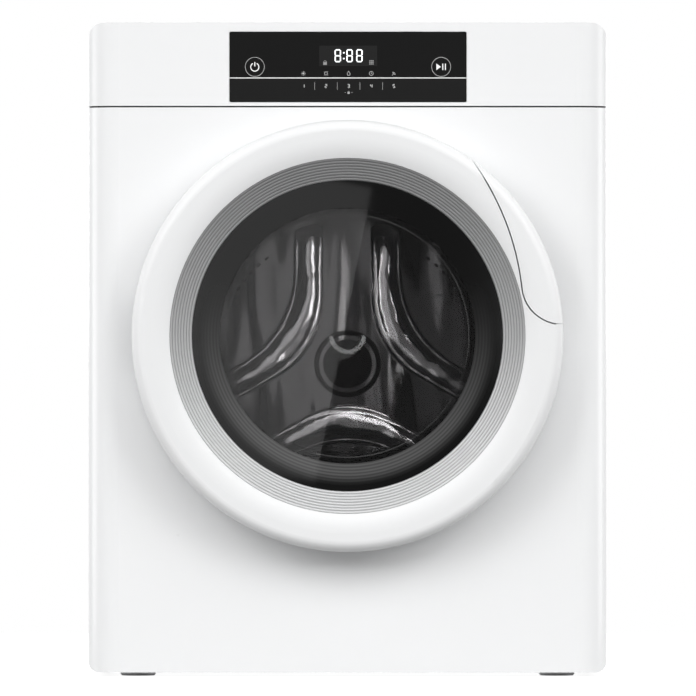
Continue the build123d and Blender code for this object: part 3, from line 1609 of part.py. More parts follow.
# Door seal: a lip ring on the liner's back that closes against the front panel
seal_radius = 157.0
with BuildPart() as door_seal:
    with BuildSketch(door_plane):
        with BuildLine():
            Polyline(
                (seal_radius, stand(door_gap)),
                (seal_radius + 9.0, stand(door_gap)),
                (seal_radius + 9.0, stand(door_gap - 1.2)),
                (seal_radius + 4.5, stand(door_gap - 1.6)),
                (seal_radius + 8.0, stand(seal_squeeze)),
                (seal_radius + 6.2, stand(seal_squeeze)),
                (seal_radius + 1.2, stand(door_gap - 1.8)),
                close=True,
            )
        make_face()
    revolve(axis=door_axis)
door_seal.part.label = "door_seal"
export_step(door_seal.part, "parts/door_seal.step")

# Hinge bracket: a plate on the front panel with two ears that hold the pin
hinge_y = stand(hinge_stand)
bracket_plate = 2.0
ear_low = barrel_length / 2 + ear_gap
bracket_half = 38.0
bracket_sides = (hinge_x - 3.0, hinge_x + 30.0)
ear_half_width = 3.0
with BuildPart() as hinge_bracket:
    block_between(
        bracket_sides,
        (stand(bracket_plate), front_y),
        (door_z - bracket_half, door_z + bracket_half),
    )
    for low in (door_z + ear_low, door_z - ear_low - ear_thickness):
        with BuildSketch(Plane.XY.offset(low)):
            with Locations((hinge_x, hinge_y)):
                Circle(knuckle_radius)
            with Locations((hinge_x, (hinge_y + front_y) / 2 - bracket_plate / 4)):
                Rectangle(2 * ear_half_width, hinge_stand - bracket_plate / 2)
            with Locations((hinge_x, hinge_y)):
                Circle(hinge_pin_radius + hinge_fit, mode=Mode.SUBTRACT)
        extrude(amount=ear_thickness)
hinge_bracket.part.label = "hinge_bracket"
export_step(hinge_bracket.part, "parts/hinge_bracket.step")

# Hinge pin with a head at each end
head_height = 1.5
head_rim = 1.4
pin_half = ear_low + ear_thickness + 0.1 + head_height / 2
with BuildPart() as hinge_pin:
    with Locations((hinge_x, hinge_y, door_z)):
        Cylinder(hinge_pin_radius, 2 * pin_half)
    with Locations((hinge_x, hinge_y, door_z - pin_half), (hinge_x, hinge_y, door_z + pin_half)):
        Cylinder(hinge_pin_radius + head_rim, head_height)
hinge_pin.part.label = "hinge_pin"
export_step(hinge_pin.part, "parts/hinge_pin.step")

# Hinge arm: the barrel on the pin and the leaf that is screwed to the liner
leaf_end = hinge_x + 40.0
with BuildPart() as hinge_arm:
    with BuildSketch(Plane.XY.offset(door_z - barrel_length / 2)):
        with Locations((hinge_x, hinge_y)):
            Circle(knuckle_radius)
        with Locations((hinge_x + 11, stand(liner_front + leaf_thickness / 2))):
            Rectangle(6, leaf_thickness)
        make_hull()
        with Locations(((hinge_x + 9 + leaf_end) / 2, stand(liner_front + leaf_thickness / 2))):
            Rectangle(leaf_end - hinge_x - 9, leaf_thickness)
        with Locations((hinge_x, hinge_y)):
            Circle(hinge_pin_radius + hinge_fit, mode=Mode.SUBTRACT)
    extrude(amount=barrel_length)
hinge_arm.part.label = "hinge_arm"
export_step(hinge_arm.part, "parts/hinge_arm.step")

# Strike plate on the liner, the magnet behind the front panel that holds it, and the
# door switch whose plunger the liner keeps pressed
catch_x = 183.0
catch_half = 8.0
strike_half = 11.0
strike_thickness = 2.0
magnet_half = 13.0
magnet_depth = 8.8
ear_height = 5.0
behind_panel = front_y + sheet + 0.2
with BuildPart() as strike_plate:
    block_between(
        (catch_x - strike_half, catch_x + strike_half),
        (stand(door_gap), stand(door_gap - strike_thickness)),
        (door_z - catch_half, door_z + catch_half),
    )
strike_plate.part.label = "strike_plate"
export_step(strike_plate.part, "parts/strike_plate.step")

with BuildPart() as door_magnet:
    block_between(
        (catch_x - magnet_half, catch_x + magnet_half),
        (behind_panel, behind_panel + magnet_depth),
        (door_z - catch_half, door_z + catch_half),
    )
    for z in (door_z - catch_half - ear_height, door_z + catch_half):
        block_between(
            (catch_x - catch_half, catch_x + catch_half),
            (behind_panel, behind_panel + 1.8),
            (z, z + ear_height),
        )
door_magnet.part.label = "door_magnet"
export_step(door_magnet.part, "parts/door_magnet.step")

switch_half = (9.0, 7.0)
switch_back_y = behind_panel + 15.8
blade_length = 6.0
with BuildPart() as door_switch:
    block_between(
        (switch_place[0] - switch_half[0], switch_place[0] + switch_half[0]),
        (behind_panel, switch_back_y),
        (switch_place[1] - switch_half[1], switch_place[1] + switch_half[1]),
    )
    disc(switch_place, stand(door_gap - 0.2), plunger_radius, door_gap + sheet + 1.0)
    for x in (switch_place[0] - 4, switch_place[0] + 4):
        block_between(
            (x - 1, x + 1),
            (switch_back_y, switch_back_y + blade_length),
            (switch_place[1] - 3, switch_place[1] + 3),
        )
door_switch.part.label = "door_switch"
export_step(door_switch.part, "parts/door_switch.step")
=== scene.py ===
"""Dresses the compact tumble dryer: a finish for every part, its marks, its screws and a studio."""
from __future__ import annotations

import logging
import math
from dataclasses import dataclass
from enum import Enum
from typing import Any, ClassVar, Iterable, Mapping, Sequence

import bpy
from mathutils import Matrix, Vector


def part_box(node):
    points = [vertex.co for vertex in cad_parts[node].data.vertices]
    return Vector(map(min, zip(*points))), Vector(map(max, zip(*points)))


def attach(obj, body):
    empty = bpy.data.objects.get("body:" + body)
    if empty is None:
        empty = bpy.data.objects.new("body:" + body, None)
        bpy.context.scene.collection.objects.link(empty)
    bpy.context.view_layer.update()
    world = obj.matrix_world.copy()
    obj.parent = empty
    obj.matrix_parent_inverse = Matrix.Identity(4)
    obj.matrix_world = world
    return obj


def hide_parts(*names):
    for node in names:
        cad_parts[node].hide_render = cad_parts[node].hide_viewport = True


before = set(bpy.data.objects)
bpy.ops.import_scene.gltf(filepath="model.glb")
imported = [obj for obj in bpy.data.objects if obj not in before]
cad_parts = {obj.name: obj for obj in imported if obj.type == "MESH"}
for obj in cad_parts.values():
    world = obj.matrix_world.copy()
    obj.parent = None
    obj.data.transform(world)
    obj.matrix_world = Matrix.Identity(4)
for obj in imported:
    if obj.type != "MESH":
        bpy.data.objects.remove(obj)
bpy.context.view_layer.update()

log = logging.getLogger("dryer")

MM = 0.001
GLASS_IOR = 1.45
FRONT_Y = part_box("display_panel")[0].y
Point2 = tuple[float, float]
Point3 = tuple[float, float, float]


def middle_of(node: str) -> Vector:
    """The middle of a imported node's box."""
    low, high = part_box(node)
    return (low + high) / 2


DOOR_AXIS = middle_of("glass_bowl").z


def polar(radius: float, degrees: float, centre: Point2 = (0.0, 0.0)) -> Point2:
    """The point at that distance and direction from a centre."""
    angle = math.radians(degrees)
    return (centre[0] + radius * math.cos(angle), centre[1] + radius * math.sin(angle))


@dataclass(frozen=True)
class Colour:
    """A linear colour."""

    red: float
    green: float
    blue: float

    def rgba(self) -> tuple[float, float, float, float]:
        """The colour with full alpha."""
        return (self.red, self.green, self.blue, 1.0)

    def scaled(self, factor: float) -> "Colour":
        """The colour made lighter or darker by a factor."""
        return Colour(self.red * factor, self.green * factor, self.blue * factor)


def grey(level: float) -> Colour:
    """A neutral colour."""
    return Colour(level, level, level)


class Signal:
    """A number in a node tree, so that sums on it can be written as Python sums."""

    def __init__(self, book: "Book", socket: bpy.types.NodeSocket) -> None:
        """Keeps the socket and the tree that it belongs to."""
        self.book = book
        self.socket = socket

    def _math(self, operation: str, first: Any, second: Any) -> "Signal":
        """A Math node's result for two values, each a number or a signal."""
        made = self.book.node("ShaderNodeMath", {"operation": operation}, {0: first, 1: second})
        return Signal(self.book, made.outputs[0])

    def __add__(self, other: Any) -> "Signal":
        """This plus other."""
        return self._math("ADD", self, other)

    def __radd__(self, other: Any) -> "Signal":
        """Other plus this."""
        return self._math("ADD", other, self)

    def __sub__(self, other: Any) -> "Signal":
        """This less other."""
        return self._math("SUBTRACT", self, other)

    def __rsub__(self, other: Any) -> "Signal":
        """Other less this."""
        return self._math("SUBTRACT", other, self)

    def __mul__(self, other: Any) -> "Signal":
        """This times other."""
        return self._math("MULTIPLY", self, other)

    def __rmul__(self, other: Any) -> "Signal":
        """Other times this."""
        return self._math("MULTIPLY", other, self)

    def __pow__(self, other: Any) -> "Signal":
        """This to the power of other."""
        return self._math("POWER", self, other)

    def sine(self) -> "Signal":
        """The sine of this."""
        return self._math("SINE", self, 0.0)

    def fraction(self) -> "Signal":
        """What this has beyond its whole part."""
        return self._math("FRACT", self, 0.0)

    def larger(self, other: Any) -> "Signal":
        """The larger of this and other."""
        return self._math("MAXIMUM", self, other)

    def smaller(self, other: Any) -> "Signal":
        """The smaller of this and other."""
        return self._math("MINIMUM", self, other)

    def between(self, low: float, high: float) -> "Signal":
        """A smooth step.

        Args:
            low: the value where the step starts, giving 0.
            high: the value where it ends, giving 1.

        Returns:
            The stepped signal.
        """
        made = self.book.node(
            "ShaderNodeMapRange",
            {"interpolation_type": "SMOOTHSTEP"},
            {"Value": self, "From Min": low, "From Max": high},
        )
        return Signal(self.book, made.outputs[0])


class Book:
    """The node tree of one material or of the world."""

    def __init__(self, owner: bpy.types.Material | bpy.types.World) -> None:
        """Empties the owner's tree.

        Args:
            owner: what the tree belongs to.
        """
        owner.use_nodes = True
        self.owner = owner
        self.tree = owner.node_tree
        self.tree.nodes.clear()

    def node(
        self,
        kind: str,
        settings: Mapping[str, Any] | None = None,
        sockets: Mapping[Any, Any] | None = None,
    ) -> bpy.types.Node:
        """Adds one node.

        Args:
            kind: the node's type.
            settings: its own settings, set first.
            sockets: a value, colour or link for each input.

        Returns:
            The new node.
        """
        made = self.tree.nodes.new(kind)
        for key, value in (settings or {}).items():
            setattr(made, key, value)
        for key, value in (sockets or {}).items():
            if isinstance(value, Signal):
                value = value.socket
            if isinstance(value, bpy.types.NodeSocket):
                self.tree.links.new(value, made.inputs[key])
            else:
                plain = value.rgba() if isinstance(value, Colour) else value
                made.inputs[key].default_value = plain
        return made

    def place(self) -> bpy.types.NodeSocket:
        """The point of the surface at rest, in metres."""
        return self.node("ShaderNodeTexCoord").outputs["Object"]

    def stretched(self, scale: Point3) -> bpy.types.NodeSocket:
        """The point of the surface with each coordinate times its scale."""
        sockets = {0: self.place(), 1: scale}
        return self.node("ShaderNodeVectorMath", {"operation": "MULTIPLY"}, sockets).outputs[0]

    def coordinates(self) -> tuple[Signal, Signal, Signal]:
        """The point's x, y and z as numbers."""
        made = self.node("ShaderNodeSeparateXYZ", None, {0: self.place()})
        return tuple(Signal(self, output) for output in made.outputs)

    def from_door_axis(self) -> Signal:
        """Measures how far the point lies from the door's front-to-back axis.

        Returns:
            The distance in metres.
        """
        x, _, z = self.coordinates()
        rise = z - DOOR_AXIS
        return (x * x + rise * rise) ** 0.5

    def noise(self, scale: float, detail: float = 2.0, stretch: Point3 = (1, 1, 1)) -> Signal:
        """Soft noise, with scale blots in a metre and a factor on each coordinate for streaks."""
        sockets = {"Vector": self.stretched(stretch), "Scale": scale, "Detail": detail}
        return Signal(self, self.node("ShaderNodeTexNoise", None, sockets).outputs[0])

    def cells(self, scale: float) -> bpy.types.NodeSocket:
        """Crystal-like cells with a random colour each, that many in a metre."""
        sockets = {"Vector": self.place(), "Scale": scale}
        return self.node("ShaderNodeTexVoronoi", None, sockets).outputs["Color"]

    def seen(self) -> Signal:
        """Tells the rays of the camera, mirrors and glass from those that light the object.

        Returns:
            1 for the first and 0 for the others.
        """
        path = self.node("ShaderNodeLightPath")
        camera, mirrored, passed = (
            Signal(self, path.outputs[f"Is {kind} Ray"])
            for kind in ("Camera", "Glossy", "Transmission")
        )
        return camera.larger(mirrored).larger(passed)

    def mixed(self, factor: Any, first: Any, second: Any) -> bpy.types.NodeSocket:
        """A blend of two colours, with factor as the share of the second."""
        sockets = {0: factor, 6: first, 7: second}
        return self.node("ShaderNodeMix", {"data_type": "RGBA"}, sockets).outputs[2]

    def bump(self, height: Signal, depth: float) -> bpy.types.NodeSocket:
        """A normal from a height signal, where depth is how many metres 1 stands for."""
        sockets = {"Strength": 1.0, "Distance": depth, "Height": height}
        return self.node("ShaderNodeBump", None, sockets).outputs[0]

    def surface(self, sockets: Mapping[str, Any]) -> bpy.types.NodeSocket:
        """A Principled shader with those sockets."""
        return self.node("ShaderNodeBsdfPrincipled", None, sockets).outputs[0]

    def clear(self, colour: Colour) -> bpy.types.NodeSocket:
        """A shader that lets rays straight through, tinted."""
        return self.node("ShaderNodeBsdfTransparent", None, {"Color": colour}).outputs[0]

    def mirror(self, colour: Colour, roughness: float) -> bpy.types.NodeSocket:
        """A shader that mirrors and does nothing else."""
        sockets = {"Color": colour, "Roughness": roughness}
        return self.node("ShaderNodeBsdfGlossy", None, sockets).outputs[0]

    def fresnel(self) -> Signal:
        """How much bare glass mirrors, from face on to edge on."""
        return Signal(self, self.node("ShaderNodeFresnel", None, {"IOR": GLASS_IOR}).outputs[0])

    def blend(
        self, factor: Any, first: bpy.types.NodeSocket, second: bpy.types.NodeSocket
    ) -> bpy.types.NodeSocket:
        """A blend of two shaders, with factor as the share of the second."""
        return self.node("ShaderNodeMixShader", None, {0: factor, 1: first, 2: second}).outputs[0]

    def close(self, shader: bpy.types.NodeSocket) -> bpy.types.Material:
        """Ends the tree with that shader and returns the material."""
        self.node("ShaderNodeOutputMaterial", None, {"Surface": shader})
        return self.owner


@dataclass(frozen=True)
class Finish:
    """What every finish has: a name and a colour."""

    name: str
    colour: Colour

    def material(self) -> bpy.types.Material:
        """Makes the Blender material, once for each name.

        Returns:
            The material.
        """
        label = f"{self.name}_look"
        known = bpy.data.materials.get(label)
        if known is not None:
            return known
        book = Book(bpy.data.materials.new(label))
        return book.close(self.shader(book))

    def shader(self, book: Book) -> bpy.types.NodeSocket:
        """The finish's shader in that tree."""
        raise NotImplementedError


@dataclass(frozen=True)
class Enamel(Finish):
    """Baked enamel on sheet steel, with a faint orange peel."""

    roughness: float = 0.3
    peel: float = 0.0000012

    def shader(self, book: Book) -> bpy.types.NodeSocket:
        """White paint, a little uneven in tone and gloss.

        Args:
            book: the node tree to build in.

        Returns:
            The finished shader.
        """
        cloud = book.noise(7.0, 3.0)
        gloss = book.noise(26.0, 4.0)
        return book.surface({
            "Base Color": book.mixed(cloud, self.colour.scaled(0.985), self.colour),
            "Roughness": self.roughness + 0.1 * (gloss - 0.5),
            "Coat Weight": 0.25,
            "Coat Roughness": 0.12,
            "Specular IOR Level": 0.4,
            "Normal": book.bump(book.noise(150.0, 1.0), self.peel),
        })


@dataclass(frozen=True)
class Moulding(Finish):
    """Moulded plastic with a fine eroded texture."""

    roughness: float = 0.36
    grain: float = 0.0000015
    fineness: float = 240.0
    shine: float = 0.45

    def shader(self, book: Book) -> bpy.types.NodeSocket:
        """Plastic whose tone drifts with the flow of the mould.

        Args:
            book: the node tree to build in.

        Returns:
            The finished shader.
        """
        flow = book.noise(5.0, 2.0, (1, 1, 2.2))
        return book.surface({
            "Base Color": book.mixed(flow, self.colour.scaled(0.975), self.colour),
            "Roughness": self.roughness + 0.1 * (book.noise(40.0, 3.0) - 0.5),
            "Specular IOR Level": self.shine,
            "Normal": book.bump(book.noise(self.fineness, 1.0), self.grain),
        })


@dataclass(frozen=True)
class GlossBlack(Finish):
    """Polished black plastic with the faintest haze of wiping."""

    roughness: float = 0.06
    shine: float = 0.2

    def shader(self, book: Book) -> bpy.types.NodeSocket:
        """A dark mirror with wiping marks in its gloss.

        Args:
            book: the node tree to build in.

        Returns:
            The finished shader.
        """
        wiping = book.noise(18.0, 4.0, (1, 1, 4.0))
        return book.surface({
            "Base Color": book.mixed(book.noise(9.0), self.colour.scaled(0.85), self.colour),
            "Roughness": self.roughness + 0.06 * wiping,
            "Specular IOR Level": self.shine,
            "Normal": book.bump(book.noise(60.0, 1.0), 0.000004),
        })


class Lay(Enum):
    """How the polishing lines of a metal run."""

    ALONG_Y = (90.0, 4.0, 90.0)
    ALONG_Z = (90.0, 90.0, 4.0)
    NONE = (12.0, 12.0, 12.0)


@dataclass(frozen=True)
class Metal(Finish):
    """Bare metal with polishing lines and slow waves from the press."""

    roughness: float = 0.28
    lay: Lay = Lay.NONE
    waves: float = 0.0
    wave_scale: float = 14.0
    lines: float = 0.0000006
    flow: Point3 = (1.0, 1.0, 1.0)

    def shader(self, book: Book) -> bpy.types.NodeSocket:
        """Metal whose lines show in its gloss, colour and relief.

        Args:
            book: the node tree to build in.

        Returns:
            The finished shader.
        """
        lines = book.noise(4.0, 4.0, self.lay.value)
        waves = book.noise(self.wave_scale, 1.5, self.flow)
        height = lines * (self.lines / MM) + waves * (self.waves / MM)
        return book.surface({
            "Base Color": book.mixed(lines, self.colour.scaled(0.86), self.colour),
            "Metallic": 1.0,
            "Roughness": self.roughness + 0.12 * (lines - 0.5),
            "Normal": book.bump(height, MM),
        })


@dataclass(frozen=True)
class ZincSheet(Finish):
    """Zinc-plated sheet with a faint spangle of crystals."""

    roughness: float = 0.42

    def shader(self, book: Book) -> bpy.types.NodeSocket:
        """Each crystal has its own tone and gloss.

        Args:
            book: the node tree to build in.

        Returns:
            The finished shader.
        """
        crystals = book.cells(85.0)
        tone = Signal(book, book.node("ShaderNodeSeparateColor", None, {0: crystals}).outputs[0])
        return book.surface({
            "Base Color": book.mixed(tone, self.colour.scaled(0.82), self.colour),
            "Metallic": 0.9,
            "Roughness": self.roughness + 0.14 * (tone - 0.5),
            "Normal": book.bump(book.noise(300.0, 2.0), 0.000006),
        })


@dataclass(frozen=True)
class RibbedTrim(Finish):
    """Satin silver trim with painted light and shade: lighter at its foot, and darker towards its
    top and down in the grooves between its ribs.
    """

    inner: float = 0.1478
    reach: float = 0.17
    pitch: float = 0.00265
    # Share of each rib's pitch that is darkened as painted groove shade.
    painted_groove_shade: float = 0.3

    def shader(self, book: Book) -> bpy.types.NodeSocket:
        """Silver with painted shade in its grooves, picked out by the distance from the door's
        axis, and painted light and shade by height.

        Args:
            book: the node tree to build in.

        Returns:
            The finished shader.
        """
        turns = (book.from_door_axis() - self.inner) * (1 / self.pitch)
        painted_groove_shade = 1 - turns.fraction().between(0.0, self.painted_groove_shade)
        _, _, height = book.coordinates()
        # Painted light in the brighter tones at the trim's foot. Painted shade in the darker tones
        # at its top and in the grooves.
        low = book.mixed(painted_groove_shade, self.colour.scaled(1.36), self.colour.scaled(0.82))
        high = book.mixed(painted_groove_shade, self.colour.scaled(0.42), self.colour.scaled(0.28))
        # Share of painted top shade, from 0 at the trim's foot to 1 at its top.
        painted_top_shade = height.between(DOOR_AXIS - self.reach, DOOR_AXIS + self.reach)
        return book.surface({
            "Base Color": book.mixed(painted_top_shade, low, high),
            "Metallic": 0.12,
            "Roughness": 0.4 + 0.1 * (book.noise(60.0, 3.0) - 0.5),
        })


@dataclass(frozen=True)
class Pane(Finish):
    """Tinted pane: see-through in the middle, with black print behind its rim that reaches in over
    the bowl's wall as painted shade.

    A painted highlight runs as a fine line inside the print, and a painted reflection makes the
    print paler at its foot, in rings.
    """

    print_and_shade_radius: float = 0.1212
    print_and_shade_edge: float = 0.0004
    painted_highlight_radius: float = 0.1152
    painted_highlight_width: float = 0.0004
    painted_highlight_blur: float = 0.0006
    # Where the painted reflection at the print's foot starts and ends, and how it fades and
    # ripples.
    painted_reflection_foot: float = -0.15
    painted_reflection_head: float = 0.06
    painted_reflection_fade: Point2 = (0.008, 0.022)
    painted_reflection_ripple: float = 2100.0
    # Black of the print, which also serves as painted shade over the bowl's wall.
    ink: Colour = grey(0.0015)
    # Grey of the painted reflection and of the painted highlight.
    painted_light_ink: Colour = grey(0.12)
    gloss: float = 0.2

    def shader(self, book: Book) -> bpy.types.NodeSocket:
        """A tint that the rays of lamps pass, a thin mirror, and the black print with its painted
        shade, painted reflection and painted highlight.

        Args:
            book: the node tree to build in.

        Returns:
            The finished shader.
        """
        away = book.from_door_axis()
        _, _, height = book.coordinates()
        glass = book.blend(
            book.fresnel() * self.gloss, book.clear(self.colour), book.mirror(grey(1.0), 0.0)
        )
        # Black print, reaching in over the bowl's wall as painted shade.
        print_and_shade = away.between(self.print_and_shade_radius, self.print_and_shade_radius + self.print_and_shade_edge)
        # Painted reflection: paler ink towards the foot of the print, in rings.
        low = 1 - height.between(DOOR_AXIS + self.painted_reflection_foot, DOOR_AXIS + self.painted_reflection_head)
        start, end = (self.print_and_shade_radius + share for share in self.painted_reflection_fade)
        rings = (away * self.painted_reflection_ripple).sine()
        pale = low * (1 - away.between(start, end)) * (0.7 + 0.2 * rings)
        # Painted highlight: a fine pale ring inside the print, where the bowl's end edge would
        # catch the light.
        line = away.between(self.painted_highlight_radius - self.painted_highlight_blur, self.painted_highlight_radius)
        outside = self.painted_highlight_radius + self.painted_highlight_width
        line = line * (1 - away.between(outside, outside + self.painted_highlight_blur))
        ink = book.surface({
            "Base Color": book.mixed(pale.larger(line), self.ink, self.painted_light_ink),
            "Roughness": 0.04 + 0.05 * book.noise(20.0, 3.0),
            "Specular IOR Level": 0.08,
        })
        # The painted highlight shows over the glass in patches.
        return book.blend(print_and_shade.larger(line * 0.6 * book.noise(8.0, 2.0)), glass, ink)


@dataclass(frozen=True)
class Bowl(Finish):
    """Pressed glass: clear face on, dark and smoky where one looks along its wall."""

    smoke: float = 3.2
    smoke_tint: Colour = grey(0.09)
    gloss: float = 0.12
    most_gloss: float = 0.5

    def shader(self, book: Book) -> bpy.types.NodeSocket:
        """A clear shader that darkens with the length of glass along the line of sight.

        Args:
            book: the node tree to build in.

        Returns:
            The finished shader.
        """
        weight = book.node("ShaderNodeLayerWeight", None, {"Blend": 0.5})
        facing = Signal(book, weight.outputs["Facing"])
        clear, smoke = book.clear(self.colour), book.clear(self.smoke_tint)
        body = book.blend(facing ** self.smoke, clear, smoke)
        share = (book.fresnel() * self.gloss).smaller(self.most_gloss)
        return book.blend(share, body, book.mirror(grey(0.9), 0.03))


@dataclass(frozen=True)
class Felt(Finish):
    """Pressed wool felt."""

    def shader(self, book: Book) -> bpy.types.NodeSocket:
        """Matted fibres in tone and relief.

        Args:
            book: the node tree to build in.

        Returns:
            The finished shader.
        """
        fibres = book.noise(900.0, 5.0, (1, 0.3, 1))
        return book.surface({
            "Base Color": book.mixed(fibres, self.colour.scaled(0.7), self.colour),
            "Roughness": 0.95,
            "Sheen Weight": 0.3,
            "Specular IOR Level": 0.15,
            "Normal": book.bump(fibres, 0.0006),
        })


@dataclass(frozen=True)
class Rubber(Finish):
    """Moulded rubber, a little chalky."""

    roughness: float = 0.7

    def shader(self, book: Book) -> bpy.types.NodeSocket:
        """Rubber with a bloom that lightens it in patches.

        Args:
            book: the node tree to build in.

        Returns:
            The finished shader.
        """
        bloom = book.noise(60.0, 5.0)
        patches = bloom.between(0.45, 0.75)
        return book.surface({
            "Base Color": book.mixed(patches, self.colour, self.colour.scaled(1.5)),
            "Roughness": self.roughness + 0.15 * (bloom - 0.5),
            "Specular IOR Level": 0.3,
            "Normal": book.bump(book.noise(300.0, 2.0), 0.000008),
        })


@dataclass(frozen=True)
class Board(Finish):
    """Circuit board with its tracks showing through the lacquer."""

    track_rate: float = 2500.0
    pad_rate: float = 900.0

    def shader(self, book: Book) -> bpy.types.NodeSocket:
        """Fine rows of copper under green lacquer.

        Args:
            book: the node tree to build in.

        Returns:
            The finished shader.
        """
        x, y, _ = book.coordinates()
        rows = (x * self.track_rate).sine() * (y * self.pad_rate).sine()
        return book.surface({
            "Base Color": book.mixed(rows.between(0.2, 0.6), self.colour, self.colour.scaled(1.9)),
            "Roughness": 0.4 + 0.1 * (book.noise(200.0) - 0.5),
        })


@dataclass(frozen=True)
class Lit(Finish):
    """White print with a painted glow, or a lit segment."""

    glow: float = 0.5

    def shader(self, book: Book) -> bpy.types.NodeSocket:
        """Even light with the slight mottling of screen print; on print marks this light is a
        painted glow.

        Args:
            book: the node tree to build in.

        Returns:
            The finished shader.
        """
        ink = book.noise(2500.0, 1.0)
        return book.surface({
            "Base Color": book.mixed(ink, self.colour.scaled(0.9), self.colour),
            "Roughness": 0.5,
            "Emission Color": book.mixed(ink, self.colour.scaled(0.94), self.colour),
            "Emission Strength": self.glow,
            "Specular IOR Level": 0.1,
        })


WHITE = Colour(0.86, 0.865, 0.87)
ENAMEL = Enamel("white_enamel", WHITE)
FASCIA_WHITE = Moulding("fascia_white", WHITE, roughness=0.3, grain=0.000001)
DOOR_WHITE = Moulding("door_white", WHITE.scaled(0.95), roughness=0.34, grain=0.000001, shine=0.3)
COVER_WHITE = Moulding("cover_white", WHITE.scaled(0.98), roughness=0.42, grain=0.000004)
INNER_WHITE = Moulding("inner_white", Colour(0.62, 0.635, 0.65), roughness=0.45, grain=0.000003)
LINER_WHITE = Moulding("liner_white", Colour(0.72, 0.73, 0.74), roughness=0.4, grain=0.000003)
DUCT_GREY = Moulding("duct_grey", Colour(0.15, 0.155, 0.16), roughness=0.5, grain=0.000006)
DARK_PLASTIC = Moulding("dark_plastic", grey(0.012), roughness=0.45, grain=0.000003, shine=0.3)
HUB_BLACK = Moulding("hub_black", grey(0.004), roughness=0.5, grain=0.000002, shine=0.08)
SPACER_DARK = Moulding("spacer_dark", grey(0.02), roughness=0.42, grain=0.000002, shine=0.35)
FILTER_BLUE = Moulding("filter_blue_grey", Colour(0.11, 0.16, 0.2), roughness=0.5, grain=0.000003)
PANEL_BLACK = GlossBlack("panel_black", grey(0.003), shine=0.14)
STRIP_BLACK = GlossBlack("strip_black", grey(0.007), roughness=0.2, shine=0.14)
WINDOW_FILM = GlossBlack("display_window_film", grey(0.013), roughness=0.1, shine=0.14)
# The drum back's steel is a darkened copy of the vanes' steel: painted shade inside the drum.
DRUM_STEEL = Metal(
    "drum_steel", grey(0.22), roughness=0.1, waves=0.0075, wave_scale=11.0, flow=(1.8, 1.0, 0.35)
)
VANE_STEEL = Metal("vane_steel", grey(0.95), roughness=0.11, waves=0.0034, wave_scale=24.0)
SHELL_STEEL = Metal("shell_steel", grey(0.55), roughness=0.3, lay=Lay.ALONG_Y, waves=0.0003)
SHAFT_STEEL = Metal("shaft_steel", grey(0.5), roughness=0.25, lay=Lay.ALONG_Y)
CAN_METAL = Metal("can_metal", Colour(0.7, 0.71, 0.72), roughness=0.3, lay=Lay.ALONG_Y)
FIN_METAL = Metal("fin_metal", Colour(0.66, 0.65, 0.62), roughness=0.34, lay=Lay.ALONG_Z)
BRONZE = Metal("sintered_bronze", Colour(0.42, 0.24, 0.1), roughness=0.5)
SCREW_METAL = Metal("screw_metal", grey(0.56), roughness=0.3)
ZINC = ZincSheet("zinc_sheet", Colour(0.52, 0.53, 0.54))
# Silver trim that carries painted light and shade by height and in its grooves.
TRIM_SILVER = RibbedTrim("ribbed_silver", Colour(0.4, 0.403, 0.406))
TINTED = Pane("tinted_pane", Colour(0.527, 0.524, 0.527))
BOWL_GLASS = Bowl("bowl_glass", Colour(0.945, 0.945, 0.945))
WOOL = Felt("wool_felt", Colour(0.27, 0.25, 0.21))
PALE_RUBBER = Rubber("pale_rubber", grey(0.85))
BLACK_RUBBER = Rubber("black_rubber", grey(0.014))
GREY_RUBBER = Rubber("grey_rubber", grey(0.11))
GREEN_BOARD = Board("circuit_board", Colour(0.01, 0.06, 0.025))
MOTOR_VARNISH = Moulding("motor_varnish", grey(0.02), roughness=0.4, grain=0.00001)
# Print marks with a painted glow, though print is no lamp.
PRINT_WHITE = Lit("print_white", grey(0.85), glow=0.25)
PRINT_SOFT = Lit("print_soft", grey(0.5), glow=0.1)
SEGMENT_WHITE = Lit("segment_white", Colour(0.93, 0.95, 0.96), glow=0.9)
SEGMENT_DIM = Lit("segment_dim", grey(0.3), glow=0.15)


def dress(node: str, finish: Finish) -> None:
    """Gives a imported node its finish.

    Args:
        node: the node's name.
        finish: what its surface is made of.
    """
    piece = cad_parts[node]
    piece.data.materials.clear()
    piece.data.materials.append(finish.material())
    log.info("dressed %s as %s", node, finish.name)


def build_piece(
    name: str,
    points: Sequence[Point3],
    faces: Sequence[Sequence[int]],
    finish: Finish,
    body: str,
    smooth: bool = False,
    crease: float = 180.0,
) -> bpy.types.Object:
    """Makes a mesh piece that rides on a body.

    Args:
        name: the piece's name.
        points: its points in metres.
        faces: its faces, each as places in points.
        finish: what it is made of.
        body: the body that it moves with.
        smooth: whether its faces are shaded smooth.
        crease: the angle in degrees from which an edge stays sharp.

    Returns:
        The new object.
    """
    mesh = bpy.data.meshes.new(name)
    mesh.from_pydata([tuple(point) for point in points], [], [tuple(face) for face in faces])
    mesh.validate()
    mesh.update()
    if smooth:
        mesh.shade_smooth()
        mesh.set_sharp_from_angle(angle=math.radians(crease))
    mesh.materials.append(finish.material())
    piece = bpy.data.objects.new(name, mesh)
    bpy.context.scene.collection.objects.link(piece)
    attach(piece, body)
    log.info("built %s with %d faces on %s", name, len(faces), body)
    return piece


